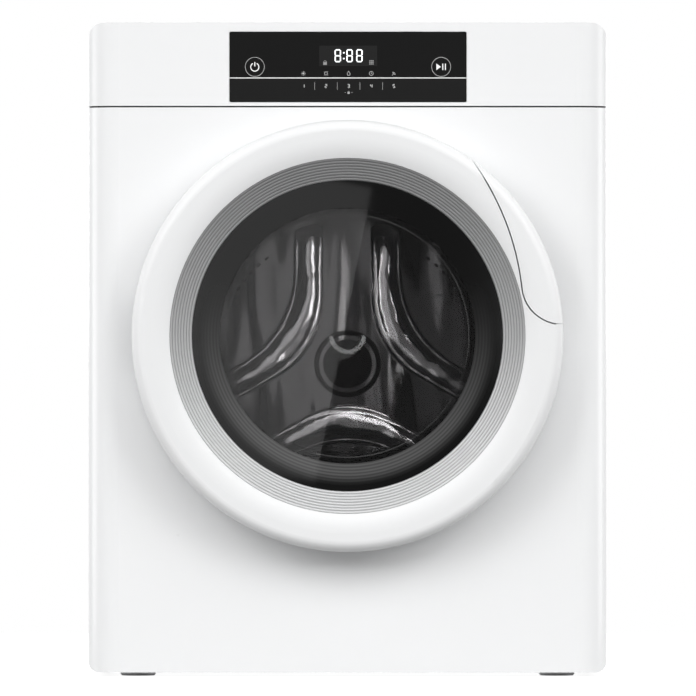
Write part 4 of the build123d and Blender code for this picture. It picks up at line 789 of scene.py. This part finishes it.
class Stencil:
    """Flat marks on an upright face, gathered and then raised by a hair as one piece."""

    step_degrees = 7.5
    least_steps = 6
    dot_sides = 24
    gap_share = 0.62
    point_share = 0.42
    sunk = 0.00002

    def __init__(self, x: float = 0.0, z: float = 0.0) -> None:
        """Starts without marks.

        Args:
            x: where places count from, in millimetres.
            z: the height that places count from, in millimetres.
        """
        self.x = x
        self.z = z
        self.outlines: list[list[Point2]] = []

    def polygon(self, points: Iterable[Point2]) -> None:
        """Adds one outline of points in order, leftwards around."""
        self.outlines.append([(self.x + x, self.z + z) for x, z in points])

    def bar(self, x: float, z: float, wide: float, high: float) -> None:
        """Adds a bar.

        Args:
            x: its middle.
            z: its middle height.
            wide: its width.
            high: its height.
        """
        self.polygon([
            (x - wide / 2, z - high / 2), (x + wide / 2, z - high / 2),
            (x + wide / 2, z + high / 2), (x - wide / 2, z + high / 2),
        ])

    def stroke(self, start: Point2, end: Point2, width: float, pointed: float = 0.0) -> None:
        """Adds a straight stroke.

        Args:
            start: one end.
            end: the other end.
            width: the stroke's width.
            pointed: how far each end runs out to a point, 0 for square ends.
        """
        run = Vector((end[0] - start[0], end[1] - start[1])).normalized()
        side = Vector((-run.y, run.x)) * (width / 2)
        first, last = Vector(start), Vector(end)
        points = [first - side, last - side]
        if pointed:
            points.append(last + run * pointed)
        points += [last + side, first + side]
        if pointed:
            points.append(first - run * pointed)
        self.polygon([(point.x, point.y) for point in points])

    def arc(
        self, centre: Point2, radius: float, width: float, start: float = 0.0, end: float = 360.0
    ) -> None:
        """Adds an arc as short strokes that meet at mitres.

        Args:
            centre: its centre.
            radius: its middle radius.
            width: its width.
            start: where it starts, in degrees from the right, leftwards around.
            end: where it ends.
        """
        steps = max(self.least_steps, round((end - start) / self.step_degrees))
        angles = [start + (end - start) * step / steps for step in range(steps + 1)]
        inner, outer = radius - width / 2, radius + width / 2
        for one, two in zip(angles, angles[1:]):
            corners = ((inner, one), (outer, one), (outer, two), (inner, two))
            self.polygon([polar(reach, angle, centre) for reach, angle in corners])

    def dot(self, centre: Point2, radius: float) -> None:
        """Adds a filled round."""
        sides = self.dot_sides
        self.polygon([polar(radius, 360 / sides * side, centre) for side in range(sides)])

    def digit(
        self, segments: str, x: float, z: float, wide: float, high: float, width: float
    ) -> None:
        """Adds a seven-segment figure.

        Args:
            segments: the segments that are lit, from a at the top to g in the middle.
            x: the figure's middle.
            z: the figure's middle height.
            wide: the distance between the upright strokes' middles.
            high: the distance between the top and bottom strokes' middles.
            width: the strokes' width.
        """
        gap = width * self.gap_share
        left, right = x - wide / 2, x + wide / 2
        top, bottom = z + high / 2, z - high / 2
        runs = {
            "a": ((left + gap, top), (right - gap, top)),
            "b": ((right, z + gap), (right, top - gap)),
            "c": ((right, bottom + gap), (right, z - gap)),
            "d": ((left + gap, bottom), (right - gap, bottom)),
            "e": ((left, bottom + gap), (left, z - gap)),
            "f": ((left, z + gap), (left, top - gap)),
            "g": ((left + gap, z), (right - gap, z)),
        }
        for segment in segments:
            self.stroke(*runs[segment], width, width * self.point_share)

    def raise_marks(
        self, name: str, finish: Finish, body: str = "cabinet",
        face: float = FRONT_Y, height: float = 0.00008,
    ) -> bpy.types.Object:
        """Turns the marks into one raised piece.

        Args:
            name: the piece's name.
            finish: the ink.
            body: the body that it moves with.
            face: the y of the face that the marks lie on.
            height: how far they stand out of it, in metres.

        Returns:
            The new object.
        """
        points: list[Point3] = []
        faces: list[list[int]] = []
        for outline in self.outlines:
            count, base = len(outline), len(points)
            for y in (face - height, face + self.sunk):
                points += [(x * MM, y, z * MM) for x, z in outline]
            faces.append([base + index for index in range(count)])
            faces.append([base + count + index for index in reversed(range(count))])
            for index in range(count):
                low, high = base + index, base + (index + 1) % count
                faces.append([high, low, low + count, high + count])
        return build_piece(name, points, faces, finish, body)


FIGURES = {
    "0": "abcdef", "1": "bc", "2": "abged", "3": "abgcd", "4": "fgbc", "5": "afgcd", "8": "abcdefg",
}


@dataclass
class ScrewSet:
    """Pan-head screws with a cross recess on one flat face, as one piece."""

    name: str
    places: Sequence[Point3]
    outward: Point3
    body: str
    slot: str = "zinc_steel"
    radius: float = 3.6
    height: float = 1.9
    around: int = 32
    rings: Sequence[float] = (0.0, 0.16, 0.3, 0.44, 0.56, 0.7, 0.84, 0.95, 1.0, 1.0)
    crown: float = 0.72
    cross_reach: float = 0.6
    cross_width: float = 0.2
    cross_depth: float = 0.55
    cross_end: float = 0.9
    turn_each: float = 37.0

    def rise(self, level: int, angle: float) -> float:
        """Works out how far the head stands out, less its cross recess.

        Args:
            level: the ring's place in rings.
            angle: the direction from the head's middle, in radians.

        Returns:
            The height above the face.
        """
        if level == len(self.rings) - 1:
            return 0.0
        share = self.rings[level]
        rise = self.height * math.sqrt(1 - self.crown * share**2)
        if share < self.cross_reach and abs(math.sin(2 * angle)) * share < self.cross_width:
            rise -= self.height * self.cross_depth * (1 - share / self.cross_end)
        return rise

    def build(self) -> bpy.types.Object:
        """Builds the screws' heads.

        Returns:
            The new object.
        """
        out = Vector(self.outward).normalized()
        side = out.orthogonal().normalized()
        up = out.cross(side)
        points: list[Point3] = []
        faces: list[list[int]] = []
        for number, place in enumerate(self.places):
            base = len(points)
            turn = math.radians(self.turn_each * number)
            for level, share in enumerate(self.rings):
                for step in range(self.around):
                    angle = 2 * math.pi * step / self.around
                    spread = side * math.cos(angle + turn) + up * math.sin(angle + turn)
                    reach = spread * (self.radius * share) + out * self.rise(level, angle)
                    points.append(tuple((Vector(place) + reach) * MM))
            for level in range(len(self.rings) - 1):
                low = base + level * self.around
                high = low + self.around
                for step in range(self.around):
                    after = (step + 1) % self.around
                    faces.append([low + step, high + step, high + after, low + after])
        return build_piece(self.name, points, faces, SCREW_METAL, self.body, smooth=True)


SMALL_HEAD = {"radius": 3.2, "height": 1.5}


class Assembly:
    """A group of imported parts, each with its finish."""

    finishes: ClassVar[Mapping[str, Finish]] = {}

    def build(self) -> None:
        """Dresses the group's parts and makes its own pieces."""
        for node, finish in self.finishes.items():
            dress(node, finish)
        self.add_pieces()

    def add_pieces(self) -> None:
        """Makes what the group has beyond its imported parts."""


@dataclass
class Cabinet(Assembly):
    """The casing: front, sides, top, back and base, with its feet and screws."""

    side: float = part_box("side_panel_right")[1].x / MM
    top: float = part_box("top_cover")[1].z / MM
    back_face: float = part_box("side_panel_left")[1].y / MM
    plate_face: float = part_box("back_panel")[1].y / MM
    flange_inset: float = 11.5
    cover_drop: float = 17.0
    spigot_ring: float = 60.0
    pan_row_z: float = 20.0
    flange_heights: Sequence[float] = (36, 170, 304, 438, 560)
    cover_places: Sequence[float] = (-205, -70, 70, 205)
    pan_places: Sequence[float] = (-150, -60, 110, 185)
    spigot_angles: Sequence[float] = (25, 90, 155)
    finishes = {
        "front_panel": ENAMEL,
        "side_panel_left": ENAMEL,
        "side_panel_right": ENAMEL,
        "top_cover": COVER_WHITE,
        "back_panel": ZINC,
        "base_pan": ZINC,
        "feet": PALE_RUBBER,
        "cord_gland": DARK_PLASTIC,
        "vent_collar": INNER_WHITE,
    }

    def add_pieces(self) -> None:
        """Sets the screws of the back."""
        self.set_flange_screws()
        self.set_plate_screws()

    def set_flange_screws(self) -> None:
        """Screws down both flanges of the back and along its upper edge."""
        inset = self.side - self.flange_inset
        rows = [(x, self.back_face, z) for x in (-inset, inset) for z in self.flange_heights]
        ScrewSet("back_flange_screws", rows, (0, 1, 0), "cabinet", "white_enamel").build()
        lid = [(x, self.back_face, self.top - self.cover_drop) for x in self.cover_places]
        ScrewSet("cover_screws", lid, (0, 1, 0), "cabinet", "white_plastic").build()

    def set_plate_screws(self) -> None:
        """Screws through the back plate, round the spigot's flange and along the base pan."""
        spigot = middle_of("vent_collar") / MM
        centre = (spigot.x, spigot.z)
        ring = [polar(self.spigot_ring, angle, centre) for angle in self.spigot_angles]
        places = [(x, self.plate_face, z) for x, z in ring]
        places += [(x, self.plate_face, self.pan_row_z) for x in self.pan_places]
        ScrewSet("plate_screws", places, (0, 1, 0), "cabinet").build()


@dataclass
class ControlPanel(Assembly):
    """The fascia with its black insert, display, marks and buttons."""

    middle: float = middle_of("display_panel").x / MM
    panel_low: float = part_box("display_panel")[0].z / MM
    strip_top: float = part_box("key_strip")[1].z / MM
    button_z: float = middle_of("power_button").z / MM
    power_x: float = middle_of("power_button").x / MM
    start_x: float = middle_of("start_button").x / MM
    ring_radius: float = 9.1
    line: float = 0.42
    sign_line: float = 0.85
    key_pitch: float = 21.6
    key_shift: float = 0.6
    icon_rise: float = 3.8
    label_drop: float = 7.2
    lock_drop: float = 6.0
    display_rise: float = 20.6
    sign_drop: float = 6.3
    finishes = {
        "control_fascia": FASCIA_WHITE,
        "display_panel": PANEL_BLACK,
        "key_strip": STRIP_BLACK,
        "power_button": PANEL_BLACK,
        "start_button": PANEL_BLACK,
        "control_board": GREEN_BOARD,
    }

    def add_pieces(self) -> None:
        """Prints the panel's marks."""
        self.print_power_button()
        self.print_start_button()
        self.light_display()
        self.print_icons()
        self.print_key_strip()

    def print_ring(self, name: str, x: float, body: str) -> None:
        """Prints the fine ring round a button.

        Args:
            name: the ring's name.
            x: the button's middle.
            body: the button's body.
        """
        marks = Stencil(x, self.button_z)
        marks.arc((0, 0), self.ring_radius, self.line)
        marks.raise_marks(name, PRINT_SOFT, body)

    def print_power_button(self) -> None:
        """A ring with the stroke and open circle of a mains switch."""
        self.print_ring("power_ring", self.power_x, "power_button")
        sign = Stencil(self.power_x, self.button_z)
        sign.arc((0, -0.2), 3.9, self.sign_line, 118, 422)
        sign.stroke((0, 0.4), (0, 4.6), self.sign_line)
        sign.raise_marks("power_sign", PRINT_WHITE, "power_button")

    def print_start_button(self) -> None:
        """A ring with a triangle and two bars."""
        self.print_ring("start_ring", self.start_x, "start_button")
        sign = Stencil(self.start_x, self.button_z)
        sign.polygon([(-4.6, -3.1), (-0.2, 0.0), (-4.6, 3.1)])
        for x in (1.5, 4.0):
            sign.bar(x, 0, 0.95, 6.2)
        sign.raise_marks("start_sign", PRINT_WHITE, "start_button")

    def light_display(self) -> None:
        """The display's window with its lit figures and two small signs."""
        display_z = self.panel_low + self.display_rise
        window = Stencil(self.middle, display_z)
        window.bar(0.2, 0, 55.2, 19.4)
        window.raise_marks("display_window", WINDOW_FILM, height=0.00003)
        lit = Stencil(self.middle, display_z)
        for x in (-9.7, 1.5, 10.9):
            lit.digit(FIGURES["8"], x, 0.1, 5.0, 11.2, 1.15)
        for z in (2.9, -2.6):
            lit.dot((-4.0, z), 0.75)
        lit.raise_marks("display_figures", SEGMENT_WHITE, height=0.00011)
        dim = Stencil(self.middle, display_z - self.sign_drop)
        self.padlock(dim, -21.9, 0.0, 1.0)
        for column in (-1.5, 0.0, 1.5):
            for row in (-1.5, 0.0, 1.5):
                dim.bar(22.4 + column, row, 1.1, 1.1)
        dim.raise_marks("display_signs", SEGMENT_DIM, height=0.0001)

    @staticmethod
    def padlock(marks: Stencil, x: float, z: float, size: float) -> None:
        """Adds a small padlock about (x, z), nearly 5 mm high at size 1."""
        marks.bar(x, z - 1.1 * size, 3.4 * size, 2.5 * size)
        marks.arc((x, z + 0.4 * size), 1.15 * size, 0.5 * size, -10, 190)

    def print_icons(self) -> None:
        """Five plain signs above the keys: sun, ring, drop, clock and leaf."""
        marks = Stencil(self.middle + self.key_shift, self.panel_low + self.icon_rise)
        sun, ring, drop, clock, leaf = (self.key_pitch * step for step in range(-2, 3))
        marks.dot((sun, 0), 0.95)
        for angle in range(0, 360, 45):
            marks.stroke(polar(1.4, angle, (sun, 0)), polar(2.2, angle, (sun, 0)), 0.36)
        marks.arc((ring, 0), 1.45, self.line)
        for angle in range(45, 360, 90):
            marks.dot(polar(2.3, angle, (ring, 0)), 0.24)
        marks.arc((drop, -0.5), 1.4, self.line, 140, 400)
        marks.stroke((drop - 1.1, 0.4), (drop, 2.2), 0.4)
        marks.stroke((drop + 1.1, 0.4), (drop, 2.2), 0.4)
        marks.arc((clock, 0), 1.9, self.line)
        marks.stroke((clock, 0), (clock, 1.2), 0.38)
        marks.stroke((clock, 0), (clock + 0.9, -0.5), 0.38)
        marks.arc((leaf - 1.1, -1.1), 2.4, self.line, 0, 90)
        marks.arc((leaf + 1.3, 1.3), 2.4, self.line, 180, 270)
        marks.stroke((leaf - 1.9, -1.9), (leaf + 0.4, 0.4), 0.36)
        marks.raise_marks("key_signs", PRINT_SOFT)

    def print_key_strip(self) -> None:
        """Plain figures for the five keys, the lines between them and a lock sign below."""
        key_x, label_z = self.middle + self.key_shift, self.strip_top - self.label_drop
        marks = Stencil(key_x, label_z)
        for number, step in zip("12345", range(-2, 3)):
            marks.digit(FIGURES[number], self.key_pitch * step, 0, 1.7, 3.2, 0.36)
        marks.raise_marks("key_figures", PRINT_WHITE)
        lines = Stencil(key_x, label_z)
        for step in (-1.5, -0.5, 0.5, 1.5):
            lines.bar(self.key_pitch * step, 0.0, 0.3, 7.2)
        lines.raise_marks("key_lines", PRINT_SOFT)
        small = Stencil(key_x, label_z - self.lock_drop)
        self.padlock(small, 0.0, 0.0, 0.62)
        for x in (-3.2, 3.2):
            small.bar(x, -0.2, 1.0, 0.28)
        small.raise_marks("key_lock_sign", PRINT_SOFT)


def grid_faces(lines: int, count: int, closed: bool = False) -> list[list[int]]:
    """The faces between neighbouring lines of points.

    Args:
        lines: how many lines there are.
        count: how many points each line has.
        closed: whether the last line joins the first.

    Returns:
        Four places in the points for each face.
    """
    faces: list[list[int]] = []
    for line in range(lines if closed else lines - 1):
        here, there = line * count, (line + 1) % lines * count
        faces += [[here + at, here + at + 1, there + at + 1, there + at] for at in range(count - 1)]
    return faces


@dataclass
class RibbedRing:
    """The trim as a shallow funnel of fine ribs, from the door's white ring in to the pane."""

    face_y: float
    outer: float = 169.2
    inner: float = 147.7
    fall: float = 6.0
    ribs: int = 8
    depth: float = 0.7
    lip: float = 2.5
    around: int = 240
    crease: float = 50.0
    rib: Sequence[Point2] = (
        (0.0, 1.0), (0.12, 0.35), (0.3, 0.0), (0.62, 0.0), (0.84, 0.35), (0.97, 1.0),
    )

    def profile(self) -> list[Point2]:
        """Works out the funnel's outline.

        Returns:
            Radius and depth behind the outer edge for each point.
        """
        pitch = (self.outer - self.inner) / self.ribs
        outline: list[Point2] = []
        for number in range(self.ribs):
            for share, sink in self.rib:
                radius = self.outer - pitch * (number + share)
                fall = self.fall * (self.outer - radius) / (self.outer - self.inner)
                outline.append((radius, fall + self.depth * sink))
        return outline + [(self.inner, self.fall + sink) for sink in (self.depth, self.lip)]

    def build(self) -> None:
        """Turns the outline round the door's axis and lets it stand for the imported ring."""
        outline = self.profile()
        points: list[Point3] = []
        for step in range(self.around):
            for radius, fall in outline:
                x, z = polar(radius * MM, 360 * step / self.around, (0.0, DOOR_AXIS))
                points.append((x, (self.face_y + fall) * MM, z))
        ring = build_piece(
            "trim_ribs", points, grid_faces(self.around, len(outline), True), TRIM_SILVER,
            "door", smooth=True, crease=self.crease,
        )
        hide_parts("ribbed_ring")


@dataclass
class Door(Assembly):
    """The round door: ring, grip, trim, panes, liner, seal and hinge."""

    axis_z: float = DOOR_AXIS / MM
    liner_ring: float = 184.0
    hinge_x: float = -176.0
    hinge_reach: float = 32.0
    head_seat: float = 2.0
    liner_angles: Sequence[float] = (25, 60, 100, 140, 218, 255, 295, 332)
    finishes = {
        "door_ring": DOOR_WHITE,
        "door_handle": DOOR_WHITE,
        "ribbed_ring": TRIM_SILVER,
        "outer_pane": TINTED,
        "glass_bowl": BOWL_GLASS,
        "glass_retainer": SPACER_DARK,
        "door_liner": LINER_WHITE,
        "door_seal": GREY_RUBBER,
        "hinge_arm": ZINC,
        "strike_plate": ZINC,
        "hinge_bracket": ZINC,
        "hinge_pin": SHAFT_STEEL,
        "door_magnet": DARK_PLASTIC,
        "door_switch": DARK_PLASTIC,
    }

    def add_pieces(self) -> None:
        """Turns the trim, and sets the liner's and the hinge's screws."""
        RibbedRing(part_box("ribbed_ring")[0].y / MM).build()
        liner_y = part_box("door_liner")[1].y / MM
        ring = [polar(self.liner_ring, angle, (0.0, self.axis_z)) for angle in self.liner_angles]
        places = [(x, liner_y, z) for x, z in ring]
        ScrewSet("liner_screws", places, (0, 1, 0), "door", **SMALL_HEAD).build()
        plate_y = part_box("front_panel")[0].y / MM - self.head_seat
        heights = (self.axis_z - self.hinge_reach, self.axis_z + self.hinge_reach)
        hinge = [(self.hinge_x, plate_y, z) for z in heights]
        ScrewSet("hinge_screws", hinge, (0, -1, 0), "cabinet", **SMALL_HEAD).build()


@dataclass
class Vane:
    """One pressed vane: a bent plateau with crisp shoulders and a slight crown."""

    degrees: float
    axis_z: float
    back_y: float
    near: float = 40.0
    far: float = 78.0
    near_bend: float = 88.0
    far_bend: float = 108.0
    lean: float = 30.0
    half_length: float = 104.0
    far_short: float = 18.0
    bulge: float = 6.0
    bulge_power: int = 9
    end_rise: float = 9.0
    end_power: float = 0.9
    rows: int = 48
    crown: float = 11.3
    shoulder: Sequence[Point2] = (
        (0.0, 0.0), (0.02, 5.0), (0.035, 9.2), (0.05, 10.0), (0.075, 10.2),
        (0.1, 9.4), (0.14, 9.3), (0.22, 10.1), (0.32, 10.8), (0.42, 11.2),
    )

    def section(self) -> list[Point2]:
        """The section from edge to edge, as share of the width and height."""
        mirrored = [(1 - share, height) for share, height in reversed(self.shoulder)]
        return [*self.shoulder, (0.5, self.crown), *mirrored]

    def reach(self, apex: float, bend: float, run: float) -> float:
        """Works out how far out a long edge lies.

        Args:
            apex: its distance from the drum's axis in the vane's middle.
            bend: the radius that it bends round there.
            run: how far from the middle it is asked for.

        Returns:
            The distance outwards.
        """
        turn = math.radians(self.lean)
        end = bend * math.sin(turn)
        if abs(run) < end:
            return apex + bend - math.sqrt(bend**2 - run**2)
        return apex + bend * (1 - math.cos(turn)) + (abs(run) - end) * math.tan(turn)

    def mesh(self) -> tuple[list[Point3], list[list[int]]]:
        """The vane's points and faces, counted from 0.

        Returns:
            The points in metres, and the faces as places in them.
        """
        out = Vector(polar(1.0, self.degrees))
        along = Vector((-out.y, out.x))
        section = self.section()
        points: list[Point3] = []
        for row in range(self.rows + 1):
            share = 2 * row / self.rows - 1
            rise = min(1.0, self.end_rise * (1 - abs(share)) ** self.end_power)
            near_run = share * self.half_length
            far_run = share * (self.half_length - self.far_short)
            near = out * self.reach(self.near, self.near_bend, near_run) + along * near_run
            far = out * self.reach(self.far, self.far_bend, far_run) + along * far_run
            for across, height in section:
                bulge = self.bulge * (1 - (2 * across - 1) ** 2) * share**self.bulge_power
                spot = near.lerp(far, across) + along * bulge
                y = self.back_y - height * rise
                points.append((spot.x * MM, y * MM, (self.axis_z + spot.y) * MM))
        return points, grid_faces(self.rows + 1, len(section))


@dataclass
class Drum(Assembly):
    """The drum with its polished back, vanes, lifters and hub."""

    vane_turns: Sequence[float] = (150, 30, 270)
    vane_crease: float = 28.0
    finishes = {
        "drum_shell": SHELL_STEEL,
        "drum_back": DRUM_STEEL,
        "drum_vanes": VANE_STEEL,
        "drum_lifters": SHELL_STEEL,
        "hub_cap": HUB_BLACK,
        "drum_shaft": SHAFT_STEEL,
        "drum_bush": BRONZE,
        "bearing_housing": DUCT_GREY,
        "rear_bulkhead": ZINC,
        "rear_felt": WOOL,
        "front_bulkhead": INNER_WHITE,
        "front_felt": WOOL,
        "drum_glides": LINER_WHITE,
    }

    def add_pieces(self) -> None:
        """Presses the three vanes as one piece."""
        points: list[Point3] = []
        faces: list[list[int]] = []
        axis_z = middle_of("drum_shaft").z / MM
        back_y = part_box("drum_vanes")[1].y / MM
        for degrees in self.vane_turns:
            more, sides = Vane(degrees, axis_z, back_y).mesh()
            faces += [[len(points) + place for place in side] for side in sides]
            points += more
        vanes = build_piece(
            "pressed_vanes", points, faces, VANE_STEEL, "drum",
            smooth=True, crease=self.vane_crease,
        )
        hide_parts("drum_vanes")


class AirPath(Assembly):
    """The filter, ducts, fan and heater."""

    finishes = {
        "lint_filter": FILTER_BLUE,
        "lint_duct": DUCT_GREY,
        "fan_housing": DUCT_GREY,
        "fan_wheel": DUCT_GREY,
        "exhaust_duct": DUCT_GREY,
        "heater_box": ZINC,
        "heater_element": FIN_METAL,
        "thermostats": DARK_PLASTIC,
    }


class Drive(Assembly):
    """The motor, its shaft and pulley, the belt and the idler."""

    finishes = {
        "motor_body": MOTOR_VARNISH,
        "motor_bracket": ZINC,
        "motor_shaft": SHAFT_STEEL,
        "motor_pulley": SHAFT_STEEL,
        "motor_capacitor": CAN_METAL,
        "power_board": GREEN_BOARD,
        "drum_belt": BLACK_RUBBER,
        "idler_arm": ZINC,
        "idler_pulley": DUCT_GREY,
        "idler_spring": SHAFT_STEEL,
    }


WINDOW_SET = "window_set"
WINDOW_NAMES = (
    "outer_pane", "glass_bowl", "drum_back", "pressed_vanes", "drum_shell", "drum_lifters",
)


def window_pieces() -> bpy.types.Collection:
    """Gathers the pieces in and behind the door's window.

    Returns:
        A collection of its own, outside the scene, that mirror lamps are linked to.
    """
    found = bpy.data.collections.get(WINDOW_SET)
    if found is None:
        found = bpy.data.collections.new(WINDOW_SET)
        for name in WINDOW_NAMES:
            found.objects.link(bpy.data.objects[name])
    return found


@dataclass
class Softbox:
    """One rectangular lamp."""

    name: str
    place: Point3
    target: Point3
    size: Point2
    radiance: float
    lean: float = 0.0
    mirror_only: bool = False

    def build(self) -> bpy.types.Object:
        """Hangs the lamp, unseen by the camera itself.

        Returns:
            The lamp's object.
        """
        light = bpy.data.lights.new(self.name, "AREA")
        light.shape = "RECTANGLE"
        light.size, light.size_y = self.size
        light.energy = self.radiance * math.pi * self.size[0] * self.size[1]
        lamp = bpy.data.objects.new(self.name, light)
        bpy.context.scene.collection.objects.link(lamp)
        lamp.location = self.place
        turn = (Vector(self.target) - Vector(self.place)).to_track_quat("-Z", "Y")
        lamp.rotation_euler = turn.to_euler()
        lamp.rotation_euler.rotate_axis("Z", math.radians(self.lean))
        lamp.visible_camera = False
        lamp.visible_diffuse = not self.mirror_only
        if self.mirror_only:
            lamp.light_linking.receiver_collection = window_pieces()
        return lamp


@dataclass
class Studio:
    """Floor, world, lamps and camera."""

    span: float = 0.6639
    distance: float = 12.0
    aim: Point2 = (0.0005, 0.3135)
    fill: float = 0.09
    floor_reach: float = 1.6
    floor_glow: float = 0.88
    sensor: float = 36.0
    sight: float = 200.0

    def build(self) -> None:
        """Sets the whole studio."""
        self.lay_floor()
        self.light_world()
        for lamp in self.lamps():
            lamp.build()
        self.set_camera()

    @staticmethod
    def lamps() -> list[Softbox]:
        """Lists the lamps on the object, and then those that only its window mirrors.

        Returns:
            The lamps in order.
        """
        front, middle, drum = (0.0, -0.2, 0.25), (0.0, 0.1, 0.35), (0.0, 0.1, 0.3)
        veil_x, veil_z = -0.1235, 0.3494
        lamps = [
            Softbox("key_above", (0.0, -7.8, 6.2), front, (7.8, 6.8), 2.25),
            Softbox("key_left", (-7.1, -6.5, 5.4), front, (5.8, 6.4), 5.35),
            Softbox("key_right", (7.1, -6.5, 5.4), front, (5.8, 6.4), 5.35),
            Softbox("side_left", (-3.4, 0.7, 0.8), middle, (1.6, 2.4), 2.6),
            Softbox("side_right", (3.4, 0.7, 0.8), middle, (1.6, 2.4), 2.6),
            Softbox("back_fill", (0.0, 3.6, 1.1), (0.0, 0.2, 0.35), (3.0, 1.6), 3.2),
            Softbox(
                "front_veil", (veil_x, -0.732, veil_z), (veil_x, -0.2, veil_z), (0.24, 0.42), 4.0,
                lean=-10.8, mirror_only=True,
            ),
        ]
        for side, place, size, radiance in (
            ("left", (-0.92, -3.2, 0.5), (0.66, 1.5), 18.0),
            ("right", (0.88, -3.2, 0.5), (0.58, 1.5), 18.0),
            ("high", (0.1, -3.2, 1.35), (1.4, 0.5), 16.0),
        ):
            lamps.append(Softbox(f"strip_{side}", place, drum, size, radiance, mirror_only=True))
        return lamps

    def lay_floor(self) -> None:
        """A wide pale floor that keeps the shadow and runs out to white."""
        book = Book(bpy.data.materials.new("studio_floor"))
        matt = book.surface({
            "Base Color": book.mixed(book.noise(3.0), grey(0.33), grey(0.35)),
            "Roughness": 0.9,
            "Specular IOR Level": 0.0,
        })
        sockets = {"Color": grey(1.0), "Strength": book.seen() * self.floor_glow}
        glow = book.node("ShaderNodeEmission", None, sockets).outputs[0]
        both = book.node("ShaderNodeAddShader", None, {0: matt, 1: glow}).outputs[0]
        reach = self.floor_reach
        corners = [(x * reach, y * reach, 0) for x, y in ((-1, -1), (1, -1), (1, 1), (-1, 1))]
        mesh = bpy.data.meshes.new("floor")
        mesh.from_pydata(corners, [], [(0, 1, 2, 3)])
        mesh.materials.append(book.close(both))
        floor = bpy.data.objects.new("floor", mesh)
        bpy.context.scene.collection.objects.link(floor)

    def light_world(self) -> None:
        """White where it is seen, directly or in a mirror, and a plain fill elsewhere."""
        world = bpy.data.worlds.new("studio")
        bpy.context.scene.world = world
        book = Book(world)
        strength = self.fill + (1 - self.fill) * book.seen()
        sockets = {"Color": grey(1.0), "Strength": strength}
        shade = book.node("ShaderNodeBackground", None, sockets).outputs[0]
        book.node("ShaderNodeOutputWorld", None, {"Surface": shade})

    def set_camera(self) -> None:
        """A long lens straight in front, so that the view is nearly flat."""
        lens = bpy.data.cameras.new("camera")
        lens.sensor_width = self.sensor
        lens.lens = self.sensor * self.distance / self.span
        lens.clip_end = self.sight
        camera = bpy.data.objects.new("camera", lens)
        bpy.context.scene.collection.objects.link(camera)
        camera.location = (self.aim[0], FRONT_Y - self.distance, self.aim[1])
        camera.rotation_euler = (math.radians(90), 0, 0)
        bpy.context.scene.camera = camera
        bpy.context.scene.view_settings.view_transform = "Standard"


def main() -> None:
    """Builds the sub-assemblies in order, then the studio."""
    logging.basicConfig(level=logging.INFO, format="%(name)s: %(message)s")
    for assembly in (Cabinet(), ControlPanel(), Door(), Drum(), AirPath(), Drive()):
        log.info("sub-assembly %s", type(assembly).__name__)
        assembly.build()
    Studio().build()


if __name__ == "__main__":
    main()
